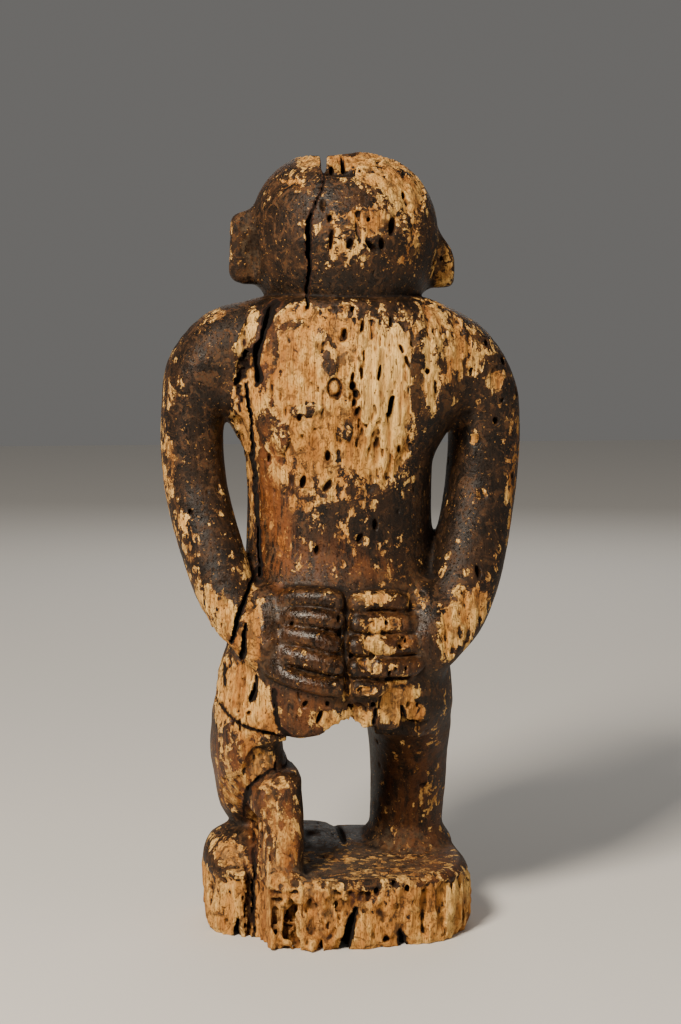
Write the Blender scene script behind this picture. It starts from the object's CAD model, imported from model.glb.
"""A weathered wooden figure, carved from one log together with the base it stands on.

The whole figure is one closed surface. It starts as a block of wood held as a grid of distances to the
surface: each member is joined into the block as a smooth form, the lost wood is worn and cut away again
along the grain, and the surface is then drawn out of the block and painted with one aged-wood finish.
Lengths in the classes are millimetres; the mesh is in metres.
"""

import logging
import math
from dataclasses import dataclass, field
from enum import Enum
from functools import partial

import bpy
import numpy as np
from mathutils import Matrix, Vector


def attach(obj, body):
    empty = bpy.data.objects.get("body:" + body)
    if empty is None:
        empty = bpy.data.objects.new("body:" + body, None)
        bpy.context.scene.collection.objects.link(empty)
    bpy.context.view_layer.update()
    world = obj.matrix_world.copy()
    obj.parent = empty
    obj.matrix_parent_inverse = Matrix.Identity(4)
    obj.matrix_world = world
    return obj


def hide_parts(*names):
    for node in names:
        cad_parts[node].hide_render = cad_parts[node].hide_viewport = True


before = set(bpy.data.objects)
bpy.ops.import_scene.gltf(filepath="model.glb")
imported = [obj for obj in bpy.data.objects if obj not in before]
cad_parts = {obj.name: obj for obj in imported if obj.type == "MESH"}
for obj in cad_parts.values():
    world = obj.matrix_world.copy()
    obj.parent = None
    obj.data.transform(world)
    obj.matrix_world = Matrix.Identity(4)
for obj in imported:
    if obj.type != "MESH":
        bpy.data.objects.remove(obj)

Array = np.ndarray
Point = tuple[float, float, float]

LOG = logging.getLogger("figure")
METRES = 0.001

# The figure's height, the grid's spacing, the distance given to open air, a depth outside the block, and
# the share of a step along Y that counts as distance where a surface leans
HEIGHT = 389.0
PITCH = 0.8
FAR = 12.0
OUTSIDE = 70.0
EASE = 0.7

TRIANGLES = 197_000
SEED = 1913


class Side(Enum):
    """The two sides that a feature can lie on; the figure faces +Y."""

    BACK = -1
    FRONT = 1


# Plain functions on arrays


def step_between(low: float, high: float, value: Array) -> Array:
    """Rise from 0 to 1 as value goes from low to high, along 3t^2 - 2t^3.

    Args:
        low: Value at which the rise starts.
        high: Value at which it ends.
        value: The values to map.

    Returns:
        The share risen at each value.
    """
    t = np.clip((value - low) / (high - low), 0.0, 1.0)
    return t * t * (3.0 - 2.0 * t)


def smooth_curve(at: Array, knots: Array, values: Array) -> Array:
    """Monotone cubic curve through knots: each slope is the harmonic mean of the two rises beside it.

    Args:
        at: Places to read the curve at.
        knots: Rising places of the knots.
        values: Value at each knot.

    Returns:
        The curve's value at each place.
    """
    knots, values = np.asarray(knots, float), np.asarray(values, float)
    gaps = np.diff(knots)
    rise = np.diff(values) / gaps
    product = rise[:-1] * rise[1:]
    total = rise[:-1] + rise[1:]
    inner = np.where(product > 0, 2 * product / np.where(total == 0, 1, total), 0)
    slopes = np.concatenate([[rise[0]], inner, [rise[-1]]])
    i = np.clip(np.searchsorted(knots, at, side="right") - 1, 0, len(gaps) - 1)
    t = np.clip((at - knots[i]) / gaps[i], 0.0, 1.0)
    start = values[i] * (1 + 2 * t) * (1 - t) ** 2 + slopes[i] * gaps[i] * t * (1 - t) ** 2
    end = values[i + 1] * t * t * (3 - 2 * t) + slopes[i + 1] * gaps[i] * t * t * (t - 1)
    return start + end


def line_distance(x: Array, z: Array, points: Array) -> tuple[Array, Array]:
    """Distance to a broken line in the XZ plane, and how far along the line the nearest place is.

    For each stretch the point is dropped onto it, kept between its ends, and the nearest stretch wins.

    Args:
        x: Places across.
        z: Places up; x and z broadcast together.
        points: The line's corners, one (x, z) a row.

    Returns:
        The distance, and the place along as a corner number with a fraction.
    """
    shape = np.broadcast_shapes(x.shape, z.shape)
    nearest = np.full(shape, 1e9, np.float32)
    place = np.zeros(shape, np.float32)
    for k, (a, b) in enumerate(zip(points[:-1], points[1:])):
        run = b - a
        t = np.clip(((x - a[0]) * run[0] + (z - a[1]) * run[1]) / max(run @ run, 1e-9), 0, 1)
        gap = np.hypot(x - a[0] - t * run[0], z - a[1] - t * run[1])
        closer = gap < nearest
        nearest = np.where(closer, gap, nearest)
        place = np.where(closer, k + t, place)
    return nearest, place


class Noise:
    """Seeded smooth noise between -1 and 1, from a repeating lattice of random values."""

    SIZE = 64

    def __init__(self, seed: int) -> None:
        """Draw the lattice.

        Args:
            seed: Number that fixes the draw.
        """
        draw = np.random.default_rng(seed)
        self.lattice = draw.uniform(-1, 1, self.SIZE**3).astype(np.float32)

    def at(self, points: Array, size: Point, shift: float = 0.0) -> Array:
        """Blend the eight lattice values round each point, with a smooth step along each axis.

        Args:
            points: Places, one (x, y, z) a row, in millimetres.
            size: Length of one lattice cell along each axis.
            shift: Moves the lattice, so that two uses differ.

        Returns:
            The noise at each place.
        """
        q = points / np.asarray(size, np.float32) + np.float32(shift)
        low = np.floor(q)
        t = q - low
        t = t * t * (3 - 2 * t)
        cell = low.astype(np.int64) & (self.SIZE - 1)
        after = (cell + 1) & (self.SIZE - 1)
        total = np.zeros(len(points), np.float32)
        for corner in range(8):
            pick = [(corner >> axis) & 1 for axis in range(3)]
            index = [after[:, a] if pick[a] else cell[:, a] for a in range(3)]
            share = np.prod([t[:, a] if pick[a] else 1 - t[:, a] for a in range(3)], axis=0)
            flat = (index[0] * self.SIZE + index[1]) * self.SIZE + index[2]
            total += self.lattice[flat] * share
        return total

    def layered(self, points: Array, size: Point, layers: int, shift: float = 0.0) -> Array:
        """Sum of layers, each half the size and half the strength of the one before.

        Args:
            points: Places, one (x, y, z) a row.
            size: Cell of the coarsest layer.
            layers: How many layers.
            shift: Moves the lattice.

        Returns:
            The sum, scaled back to about -1 to 1.
        """
        total, strength, weight = np.zeros(len(points), np.float32), 1.0, 0.0
        for k in range(layers):
            cell = tuple(s / 2**k for s in size)
            total += strength * self.at(points, cell, shift + 7.3 * k)
            weight += strength
            strength *= 0.5
        return total / weight * 1.4


# The block and the forms that are joined into it


class Form:
    """A solid form that knows its box and the distance of any place to its surface, negative inside."""

    def bounds(self) -> tuple[Array, Array]:
        """Lowest and highest corner of the form."""
        raise NotImplementedError

    def distance(self, x: Array, y: Array, z: Array) -> Array:
        """Distance to the surface; x, y and z are open grids that broadcast together."""
        raise NotImplementedError


@dataclass
class Block:
    """The wood as a grid of distances to its surface, negative inside.

    Attributes:
        low: Lowest corner.
        high: Highest corner.
        pitch: Spacing of the grid.
        axes: The places along x, y and z.
        field: The distance at each place.
    """

    low: Point = (-98.0, -OUTSIDE, -3.0)
    high: Point = (98.0, OUTSIDE, 395.0)
    pitch: float = PITCH
    axes: list[Array] = field(default_factory=list)
    field: Array = None

    def __post_init__(self) -> None:
        """Lay out the axes and fill the block with open air."""
        self.axes = [
            np.arange(a, b + self.pitch / 2, self.pitch, dtype=np.float32)
            for a, b in zip(self.low, self.high)
        ]
        self.field = np.full([len(a) for a in self.axes], FAR, np.float32)

    def window(self, low: Array, high: Array, margin: float) -> tuple[tuple, list[Array]]:
        """Slices of the grid round a box, and the open axes there.

        Args:
            low: Lowest corner of the box.
            high: Highest corner.
            margin: Extra room on every side.

        Returns:
            The slices, and the x, y and z axes shaped to broadcast.
        """
        cuts = []
        for axis, a, b in zip(self.axes, low, high):
            first = max(0, int(np.searchsorted(axis, a - margin)))
            last = min(len(axis), int(np.searchsorted(axis, b + margin)) + 1)
            cuts.append(slice(first, max(last, first + 1)))
        shapes = ((-1, 1, 1), (1, -1, 1), (1, 1, -1))
        return tuple(cuts), [a[c].reshape(s) for a, c, s in zip(self.axes, cuts, shapes)]

    def join(self, form: Form, soft: float = 2.0) -> None:
        """Add a form, with a fillet where it meets the wood: a smooth minimum of the two distances.

        Args:
            form: What is added.
            soft: Reach of the fillet.
        """
        cuts, axes = self.window(*form.bounds(), margin=max(6.0, soft))
        new = form.distance(*axes).astype(np.float32)
        old = self.field[cuts]
        share = np.clip(0.5 + 0.5 * (old - new) / soft, 0, 1)
        self.field[cuts] = old + (new - old) * share - soft * share * (1 - share)

    def cut(self, form: Form, soft: float = 0.8) -> None:
        """Take a form away: a smooth maximum of the wood's distance and minus the form's.

        Args:
            form: What is taken away.
            soft: Rounding of the edge that is left.
        """
        cuts, axes = self.window(*form.bounds(), margin=3.0)
        new = -form.distance(*axes).astype(np.float32)
        old = self.field[cuts]
        share = np.clip(0.5 + 0.5 * (new - old) / soft, 0, 1)
        self.field[cuts] = old + (new - old) * share + soft * share * (1 - share)

    def even_out(self, flattest: float = 0.35, steepest: float = 3.0, deepest: float = -60.0) -> None:
        """Divide the distances by the length of their own gradient, so that they are true millimetres.

        Args:
            flattest: Least length that is divided by.
            steepest: Greatest length that is divided by.
            deepest: Lowest distance that is kept.
        """
        steps = np.gradient(self.field, self.pitch)
        length = np.clip(np.sqrt(sum(s * s for s in steps)), flattest, steepest)
        self.field = np.clip(self.field / length, deepest, FAR).astype(np.float32)

    def close_corners(self, rounds: int = 12, under: float = -0.05) -> None:
        """Fill wood that would touch only across a corner, so that no two sheets share an edge.

        Where four neighbouring places in a square have wood on one diagonal and air on the other, all four
        are made wood, until no such square is left.

        Args:
            rounds: Most rounds that are made.
            under: Distance that the filled places get.
        """
        for _ in range(rounds):
            found = 0
            for pair in ((0, 1), (1, 2), (2, 0)):
                view = np.moveaxis(self.field, pair, (0, 1))
                corners = (view[:-1, :-1], view[1:, :-1], view[1:, 1:], view[:-1, 1:])
                wood = [corner < 0 for corner in corners]
                crossed = (wood[0] == wood[2]) & (wood[1] == wood[3]) & (wood[0] != wood[1])
                for corner in corners:
                    corner[crossed] = np.minimum(corner[crossed], under)
                found += int(crossed.sum())
            LOG.info("%d squares filled", found)
            if not found:
                return

    def band(self, reach: float) -> tuple[tuple, Array]:
        """Places near the surface.

        Args:
            reach: Largest distance from the surface.

        Returns:
            The grid indices, and the places in millimetres, one a row.
        """
        index = np.nonzero(np.abs(self.field) < reach)
        return index, np.stack([a[i] for a, i in zip(self.axes, index)], axis=1)

    def sample(self, values: Array, points: Array) -> Array:
        """Read a grid of values at free points by blending the eight nearest.

        Args:
            values: A grid shaped as the block.
            points: Places, one a row.

        Returns:
            The value at each place.
        """
        q = (points - np.array([a[0] for a in self.axes])) / self.pitch
        limit = np.array(values.shape) - 2
        cell = np.clip(np.floor(q).astype(np.int64), 0, limit)
        t = np.clip(q - cell, 0, 1)
        total = np.zeros(len(points))
        for corner in range(8):
            pick = np.array([(corner >> a) & 1 for a in range(3)])
            share = np.prod(np.where(pick, t, 1 - t), axis=1)
            total += share * values[tuple((cell + pick).T)]
        return total

    def surface_depth(self, x: float, z: float, side: Side) -> float:
        """Where a line along Y first meets the wood, coming from the given side.

        Args:
            x: Place across.
            z: Place up.
            side: The side that it comes from.

        Returns:
            The Y of the surface there, or the middle if the line misses.
        """
        i = int(np.clip(np.searchsorted(self.axes[0], x), 0, len(self.axes[0]) - 1))
        k = int(np.clip(np.searchsorted(self.axes[2], z), 0, len(self.axes[2]) - 1))
        solid = self.field[i, :, k] < 0
        if not solid.any():
            return 0.0
        ahead = solid if side is Side.BACK else solid[::-1]
        j = int(np.argmax(ahead))
        return float(self.axes[1][j if side is Side.BACK else len(solid) - 1 - j])


@dataclass(frozen=True)
class Level:
    """One level of an upright body: height, middle across, half width, and its back and front."""

    z: float
    x: float
    half: float
    back: float
    front: float


@dataclass(frozen=True)
class UprightBody(Form):
    """A body with a rounded-square outline at every height.

    Attributes:
        levels: The levels from the bottom up.
        squareness: 2 for an ellipse, more for a squarer outline.
    """

    levels: tuple[Level, ...]
    squareness: float = 2.3

    def bounds(self) -> tuple[Array, Array]:
        """Lowest and highest corner over all levels."""
        lows = [(v.x - v.half, v.back, v.z) for v in self.levels]
        highs = [(v.x + v.half, v.front, v.z) for v in self.levels]
        return np.min(lows, axis=0), np.max(highs, axis=0)

    def read(self, key: str, z: Array) -> Array:
        """One measure of the levels at the heights z, on the smooth curve through them."""
        return smooth_curve(z, [v.z for v in self.levels], [getattr(v, key) for v in self.levels])

    def distance(self, x: Array, y: Array, z: Array) -> Array:
        """Distance sideways, or past the ends.

        With u and v the places over the half sizes, f is the p-norm of (u, v), and the distance is
        f (f - 1) over the length of (u / half, v / deep).

        Args:
            x: Places across.
            y: Places front to back.
            z: Heights.

        Returns:
            The signed distance.
        """
        half, middle = self.read("half", z), self.read("x", z)
        back, front = self.read("back", z), self.read("front", z)
        deep = (front - back) / 2
        u = (x - middle) / half
        v = (y - (front + back) / 2) / deep
        p = self.squareness
        f = (np.abs(u) ** p + np.abs(v) ** p) ** (1 / p)
        pull = np.sqrt((u / half) ** 2 + (v / deep) ** 2) + 1e-6
        ends = np.maximum(self.levels[0].z - z, z - self.levels[-1].z)
        return np.maximum(f * (f - 1) / pull, ends)

    def surface(self, x: Array, z: Array, side: Side) -> Array:
        """Y of the body's surface at places seen from one side.

        Args:
            x: Places across.
            z: Heights.
            side: The side it is seen from.

        Returns:
            The Y there; outside the outline it stays at the edge's.
        """
        across = np.clip(np.abs(x - self.read("x", z)) / self.read("half", z), 0, 0.98)
        back, front = self.read("back", z), self.read("front", z)
        reach = (1 - across**self.squareness) ** (1 / self.squareness)
        return (back + front) / 2 + side.value * (front - back) / 2 * reach


@dataclass(frozen=True)
class Station:
    """One place on a limb: its centre, and its half sizes across and from front to back."""

    x: float
    y: float
    z: float
    wide: float
    deep: float


@dataclass(frozen=True)
class Limb(Form):
    """A rounded bar carried along a smooth curve.

    Attributes:
        stations: The places that it passes.
        squareness: 2 for an ellipse, more for a squarer section.
        fineness: How many straight stretches are made of each gap between stations.
    """

    stations: tuple[Station, ...]
    squareness: float = 2.3
    fineness: int = 5

    def bounds(self) -> tuple[Array, Array]:
        """Lowest and highest corner over all stations."""
        lows = [(s.x - s.wide, s.y - s.deep, s.z - s.wide) for s in self.stations]
        highs = [(s.x + s.wide, s.y + s.deep, s.z + s.wide) for s in self.stations]
        return np.min(lows, axis=0), np.max(highs, axis=0)

    def path(self) -> Array:
        """The stations on a smooth curve, one (x, y, z, wide, deep) a row, ends included."""
        rows = np.array([(s.x, s.y, s.z, s.wide, s.deep) for s in self.stations])
        index = np.arange(len(rows), dtype=float)
        at = np.linspace(0, len(rows) - 1, (len(rows) - 1) * self.fineness + 1)
        return np.stack([smooth_curve(at, index, rows[:, k]) for k in range(5)], axis=1)

    def distance(self, x: Array, y: Array, z: Array) -> Array:
        """Least distance over the straight stretches.

        In each stretch the place is dropped onto the line in the XZ plane; the distance is the p-norm of
        how far it is off the line there and of its depth, scaled to the width, less the half width.

        Args:
            x: Places across.
            y: Places front to back.
            z: Heights.

        Returns:
            The signed distance.
        """
        rows, p = self.path(), self.squareness
        least = None
        for a, b in zip(rows[:-1], rows[1:]):
            run = (b - a)[[0, 2]]
            span = max(run @ run, 1e-6)
            t = np.clip(((x - a[0]) * run[0] + (z - a[2]) * run[1]) / span, 0, 1)
            off = np.hypot(x - a[0] - t * run[0], z - a[2] - t * run[1])
            wide = a[3] + t * (b[3] - a[3])
            deep = a[4] + t * (b[4] - a[4])
            v = np.abs(y - a[1] - t * (b[1] - a[1])) * (wide / deep)
            d = (off**p + v**p) ** (1 / p) - wide
            least = d if least is None else np.minimum(least, d)
        return least


@dataclass(frozen=True)
class Swelling(Form):
    """An ellipsoid.

    Attributes:
        centre: Its middle.
        radii: Its half sizes.
        lean: Turn about the Y axis in degrees.
    """

    centre: Point
    radii: Point
    lean: float = 0.0

    def bounds(self) -> tuple[Array, Array]:
        """A box that holds the ellipsoid at any lean."""
        reach = np.array(self.radii, float)
        if self.lean:
            reach[0] = reach[2] = max(reach[0], reach[2])
        return np.array(self.centre) - reach, np.array(self.centre) + reach

    def distance(self, x: Array, y: Array, z: Array) -> Array:
        """With f the length of the place over the radii, the distance is f (f - 1) over its gradient.

        Args:
            x: Places across.
            y: Places front to back.
            z: Heights.

        Returns:
            The signed distance.
        """
        c, s = math.cos(math.radians(self.lean)), math.sin(math.radians(self.lean))
        dx, dz = x - self.centre[0], z - self.centre[2]
        u = (c * dx - s * dz) / self.radii[0]
        w = (s * dx + c * dz) / self.radii[2]
        v = (y - self.centre[1]) / self.radii[1]
        f = np.sqrt(u * u + v * v + w * w)
        pull = np.sqrt((u / self.radii[0]) ** 2 + (v / self.radii[1]) ** 2 + (w / self.radii[2]) ** 2)
        return f * (f - 1) / (pull + 1e-6)


@dataclass(frozen=True)
class Hand(Form):
    """A flat hand in relief on a body's back, as a height over the body.

    Attributes:
        body: The body that carries it.
        outline: Closed outline, points (x, z).
        fingers: Each finger's centre line, points (x, z).
        knuckles: Places across where the grooves start and where they are full.
        plate: Height of the hand.
        groove: Depth of the grooves between the fingers.
        radius: Half width of a finger.
        behind: Y behind the body, where the box round the hand begins.
        inner: Y inside the body, where the hand ends.
    """

    body: UprightBody
    outline: tuple[tuple[float, float], ...]
    fingers: tuple[tuple[tuple[float, float], ...], ...]
    knuckles: tuple[float, float]
    plate: float = 6.8
    groove: float = 5.2
    radius: float = 5.2
    behind: float = -66.0
    inner: float = -26.0

    def bounds(self) -> tuple[Array, Array]:
        """The box round the outline, from behind the body to inside it."""
        points = np.array(self.outline)
        low, high = points.min(axis=0) - 3, points.max(axis=0) + 3
        return np.array([low[0], self.behind, low[1]]), np.array([high[0], self.inner + 6, high[1]])

    def height(self, x: Array, z: Array) -> Array:
        """Height over the body: a plate with a steep rim, less the grooves between round fingers.

        A groove's depth is the groove depth times 1 - sqrt(1 - (off / radius)^2), with off the distance
        to the nearest finger's centre line.

        Args:
            x: Places across.
            z: Heights.

        Returns:
            The height in millimetres, below 0 outside.
        """
        ring = np.array(self.outline + self.outline[:1])
        edge, _ = line_distance(x, z, ring)
        inside = np.zeros(edge.shape, bool)
        for a, b in zip(ring[:-1], ring[1:]):
            spans = (a[1] > z) != (b[1] > z)
            inside ^= spans & (x < a[0] + (z - a[1]) / (b[1] - a[1] + 1e-9) * (b[0] - a[0]))
        signed = np.where(inside, edge, -edge)
        rim = (self.plate + 2) * step_between(-0.6, 3.6, signed) - 2
        off = np.min([line_distance(x, z, np.array(line))[0] for line in self.fingers], axis=0)
        bow = np.sqrt(np.clip(1 - (off / self.radius) ** 2, 0, 1))
        start, full = self.knuckles
        reach = np.sign(full - start) * (x - start) / abs(full - start)
        return rim - self.groove * (1 - bow) * step_between(0, 1, reach)

    def distance(self, x: Array, y: Array, z: Array) -> Array:
        """How far the place lies behind the raised surface, eased for its slope.

        Args:
            x: Places across.
            y: Places front to back.
            z: Heights.

        Returns:
            The signed distance.
        """
        face = self.body.surface(x, z, Side.BACK) - self.height(x, z)
        return np.maximum((face - y) * EASE, y - self.inner)


# What time has taken away


@dataclass(frozen=True)
class Crack(Form):
    """A drying crack that runs with the grain and goes in from one side.

    Attributes:
        line: Its course as (x, z, width).
        deep: Y that it reaches in to.
        side: The side that it opens on.
        wander: How much its edges wander.
        dark: How dark it is at the surface, 0 to 1.
        slant: How far it moves towards +X for each millimetre towards +Y.
    """

    line: tuple[tuple[float, float, float], ...]
    deep: float
    side: Side = Side.BACK
    wander: float = 0.22
    dark: float = 1.0
    slant: float = 0.0

    def bounds(self) -> tuple[Array, Array]:
        """The box round the course, from outside the block to the crack's deepest."""
        rows = np.array(self.line)
        outer = self.side.value * OUTSIDE
        room = 4 + 60 * self.slant
        lows = [rows[:, 0].min() - room, min(outer, self.deep), rows[:, 1].min() - 2]
        highs = [rows[:, 0].max() + room, max(outer, self.deep), rows[:, 1].max() + 2]
        return np.array(lows), np.array(highs)

    def distance(self, x: Array, y: Array, z: Array) -> Array:
        """Distance to the course in the XZ plane, less half the width, which shrinks with depth.

        The course is moved aside by three waves along z, and by the slant.

        Args:
            x: Places across.
            y: Places front to back.
            z: Heights.

        Returns:
            The signed distance.
        """
        rows = np.array(self.line)
        index = np.arange(len(rows), dtype=float)
        at = np.linspace(0, len(rows) - 1, (len(rows) - 1) * 3 + 1)
        fine = np.stack([smooth_curve(at, index, rows[:, k]) for k in range(3)], axis=1)
        phase = rows[0, 0]
        wave = np.sin(z * 0.43 + phase) + 0.8 * np.sin(z * 1.17 + 2 * phase) + 0.6 * np.sin(z * 2.6 + phase)
        across = x + self.wander * wave
        if self.slant:
            across = across - self.slant * y
        off, place = line_distance(across, z, fine[:, :2])
        width = np.interp(place, np.arange(len(fine)), fine[:, 2])
        left = self.side.value * (y - self.deep)
        taper = 0.5 + 0.5 * step_between(0, 14, left)
        return np.maximum(off - width / 2 * taper, -left)

    def darkness(self, points: Array) -> Array:
        """The crack's own darkness on its course, and 0 beyond its edges and on the other side.

        Args:
            points: Places, one a row.

        Returns:
            The share of shadow colour.
        """
        outer = np.full(len(points), self.side.value * OUTSIDE)
        off = self.distance(points[:, 0], outer, points[:, 2])
        return self.dark * (1 - step_between(0.1, 0.65, off)) * (self.side.value * points[:, 1] > 6)


@dataclass(frozen=True)
class Pit:
    """A hole eaten or rotted into the surface, drawn out along the grain.

    Attributes:
        x: Place across.
        z: Place up.
        wide: Full width.
        tall: Full height.
        deep: Depth.
        lean: Turn about the Y axis in degrees.
        side: The side that it opens on.
        lobes: The hole and the two beside it, as (share of its size, place along its height).
        scatter: How far the two may lie aside, in shares of its width.
        turn: How many degrees each may lean more or less.
    """

    x: float
    z: float
    wide: float
    tall: float
    deep: float = 5.0
    lean: float = 0.0
    side: Side = Side.BACK
    lobes: tuple[tuple[float, float], ...] = ((1.0, 0.0), (0.62, 0.55), (0.55, -0.6))
    scatter: float = 0.8
    turn: float = 8.0

    def sink(self, block: Block) -> None:
        """Cut the hole into the block where a line along Y meets the wood, with two smaller holes beside it.

        Args:
            block: The block of wood.
        """
        y = block.surface_depth(self.x, self.z, self.side)
        wide, tall = self.wide / 2 + 0.1, self.tall / 2 + 0.1
        draw = np.random.default_rng(round(abs(self.x * 31 + self.z * 17)))
        lean = math.radians(self.lean)
        for share, off in self.lobes:
            aside = draw.uniform(-self.scatter, self.scatter)
            x = self.x + off * tall * math.sin(lean) + abs(off) * wide * aside
            z = self.z + off * tall * math.cos(lean)
            radii = (wide * share, self.deep * share, tall * share)
            block.cut(Swelling((x, y, z), radii, self.lean + draw.uniform(-self.turn, self.turn)), soft=0.4)


@dataclass(frozen=True)
class WormHoles:
    """Many small holes, thickest where the wood is bare.

    Attributes:
        count: How many.
        radius: Smallest and largest half width.
        stretch: Smallest and largest length over width.
        deep: Smallest and largest depth over half width.
        turn: How many degrees a hole may lean off the grain.
        tries: How many places of the surface are drawn from.
        anywhere: Weight of any place in the draw.
        on_bare: Weight that bare wood adds.
        on_base: Weight that the sides of the base add.
    """

    count: int = 700
    radius: tuple[float, float] = (0.55, 1.05)
    stretch: tuple[float, float] = (1.0, 4.0)
    deep: tuple[float, float] = (1.0, 1.8)
    turn: float = 12.0
    tries: int = 60_000
    anywhere: float = 0.05
    on_bare: float = 0.35
    on_base: float = 0.45

    def sink(self, block: Block, wear: "Weathering") -> None:
        """Draw places on the surface by chance and cut a hole at each.

        Args:
            block: The block of wood.
            wear: Tells how bare and how torn each place is.
        """
        draw = np.random.default_rng(SEED + 1)
        _, points = block.band(0.5)
        points = points[draw.permutation(len(points))[: self.tries]]
        chance = self.anywhere + wear.bare(points) * (self.on_bare + wear.total(TORN, points))
        chance += self.on_base * wear.base_side(points)
        picks = draw.choice(len(points), self.count, replace=False, p=chance / chance.sum())
        for place in points[picks]:
            r = draw.uniform(*self.radius)
            tall = r * draw.uniform(*self.stretch)
            radii = (r, r * draw.uniform(*self.deep), tall)
            lean = draw.uniform(-self.turn, self.turn)
            block.cut(Swelling(tuple(float(v) for v in place), radii, lean), soft=0.4)


# The members


@dataclass
class Torso:
    """Trunk, shoulders and seat.

    Attributes:
        waist: Half width at the waist.
        hip: Half width at the hips.
        body: The trunk's form, laid out from the two.
    """

    waist: float = 46.0
    hip: float = 59.5
    body: UprightBody = None

    def __post_init__(self) -> None:
        """Lay out the levels from the seat to the nape."""
        w, h = self.waist, self.hip
        self.body = UprightBody(
            (
                Level(100, -5, h * 0.86, -47, 26), Level(106, -5, h * 0.95, -51.5, 32),
                Level(115, -4.5, h, -54, 37), Level(128, -4, h - 1, -55, 42),
                Level(143, -3, h - 5, -53, 46), Level(161, -2, w + 4.5, -49, 49),
                Level(179, -1, w + 1.5, -44, 50), Level(196, -0.5, w + 0.5, -40, 48),
                Level(215, -0.5, w, -39.5, 44), Level(233, -1, w + 0.5, -42, 41),
                Level(253, 0, w + 9, -45.5, 40), Level(267, 1, w + 18, -47, 39),
                Level(292, 1, w + 19, -46, 36), Level(305, 1, w + 12, -43, 32),
                Level(315, 1, w - 2, -38, 26), Level(319, 1, w - 18, -28, 18),
            ),
            2.3,
        )

    def carve(self, block: Block) -> None:
        """Join the trunk, the navel and the chest.

        Args:
            block: The block of wood.
        """
        block.join(self.body, soft=4)
        block.join(Swelling((0, 49, 180), (5, 4.5, 5.5)), soft=2)
        for side in (-1, 1):
            block.join(Swelling((side * 24, 30, 274), (24, 15, 18), side * 14), soft=5)

    def trim(self, block: Block) -> None:
        """Cut the underside of the seat to its broken edge, and the cleft.

        Args:
            block: The block of wood.
        """
        block.cut(SeatEdge(), soft=1.2)
        block.cut(Limb((Station(-3, -60, 108, 3, 7), Station(-3.5, -60, 121, 1.5, 6))), soft=3)


@dataclass(frozen=True)
class SeatEdge(Form):
    """Everything under the seat's broken lower edge, as seen from behind.

    Attributes:
        edge: The edge as (x, z).
        thighs: Where the cut ends towards the front, as (x, y).
        rise: How much the cut rises for each millimetre towards the front.
        ease: Share of the height over the edge that counts as distance.
    """

    edge: tuple[tuple[float, float], ...] = (
        (-72, 117), (-66.7, 114.7), (-58.4, 110), (-49.6, 106.8), (-37.4, 104), (-25.1, 102.7),
        (-16.3, 105), (-9.4, 109.8), (-2.9, 112.6), (0.5, 109.6), (5.5, 108.5), (10.4, 109.3),
        (14.4, 106.7), (21.8, 106.6), (25.3, 111), (33, 108), (42, 110), (60, 114),
    )
    thighs: tuple[tuple[float, float], ...] = (
        (-72, -43), (-31.5, -39), (-28, 60), (12.5, 60), (14, -27), (24, -32), (54, -52),
    )
    rise: float = 0.07
    ease: float = 0.9

    def bounds(self) -> tuple[Array, Array]:
        """The box under the seat, behind the thighs."""
        return np.array([-72.0, -66.0, 90.0]), np.array([60.0, 40.0, 119.0])

    def distance(self, x: Array, y: Array, z: Array) -> Array:
        """Height over the edge; it rises a little towards the front, and ends where the thighs begin.

        Args:
            x: Places across.
            y: Places front to back.
            z: Heights.

        Returns:
            The signed distance.
        """
        edge = np.interp(x, *np.array(self.edge).T)
        thigh = np.interp(x, *np.array(self.thighs).T)
        rise = self.rise * (y + 50)
        return np.maximum((z - edge - rise) * self.ease, y - thigh)


@dataclass
class Arms:
    """Both arms, from the shoulders round to the wrists behind the back.

    Attributes:
        reach: Distance of the left arm's outer edge from the middle.
        half: Half width of the left arm.
        extra: How much thicker the right arm is.
    """

    reach: float = 89.0
    half: float = 15.5
    extra: float = 2.0

    def limb(self, side: int) -> Limb:
        """One arm.

        Args:
            side: -1 for the arm at -X, 1 for the one at +X.

        Returns:
            The arm as a limb.
        """
        extra = self.extra if side > 0 else 0.0
        drop = 3.0 if side > 0 else 0.0
        span, half = self.reach - extra, self.half + extra
        rows = (
            (0.37, -2, 293 - drop, 23, 28), (0.59, -2, 292 - drop, 21, 27),
            (0.775, -1, 277.7 - drop, 18.5, 25), (0.83, 0, 262, half, 23), (0.837, 0, 246, half, 22),
            (0.822, -1, 226, half, 21), (0.787, -6, 209, half, 20), (0.716, -16, 186, half, 18.5),
            (0.624, -27, 162.5, half - 2, 16), (0.48, -36, 148.5, half - 3, 14),
        )
        return Limb(tuple(Station(side * span * r[0], *r[1:]) for r in rows), 2.5)

    def carve(self, block: Block) -> None:
        """Join both arms.

        Args:
            block: The block of wood.
        """
        for side in (-1, 1):
            block.join(self.limb(side), soft=6)


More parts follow.
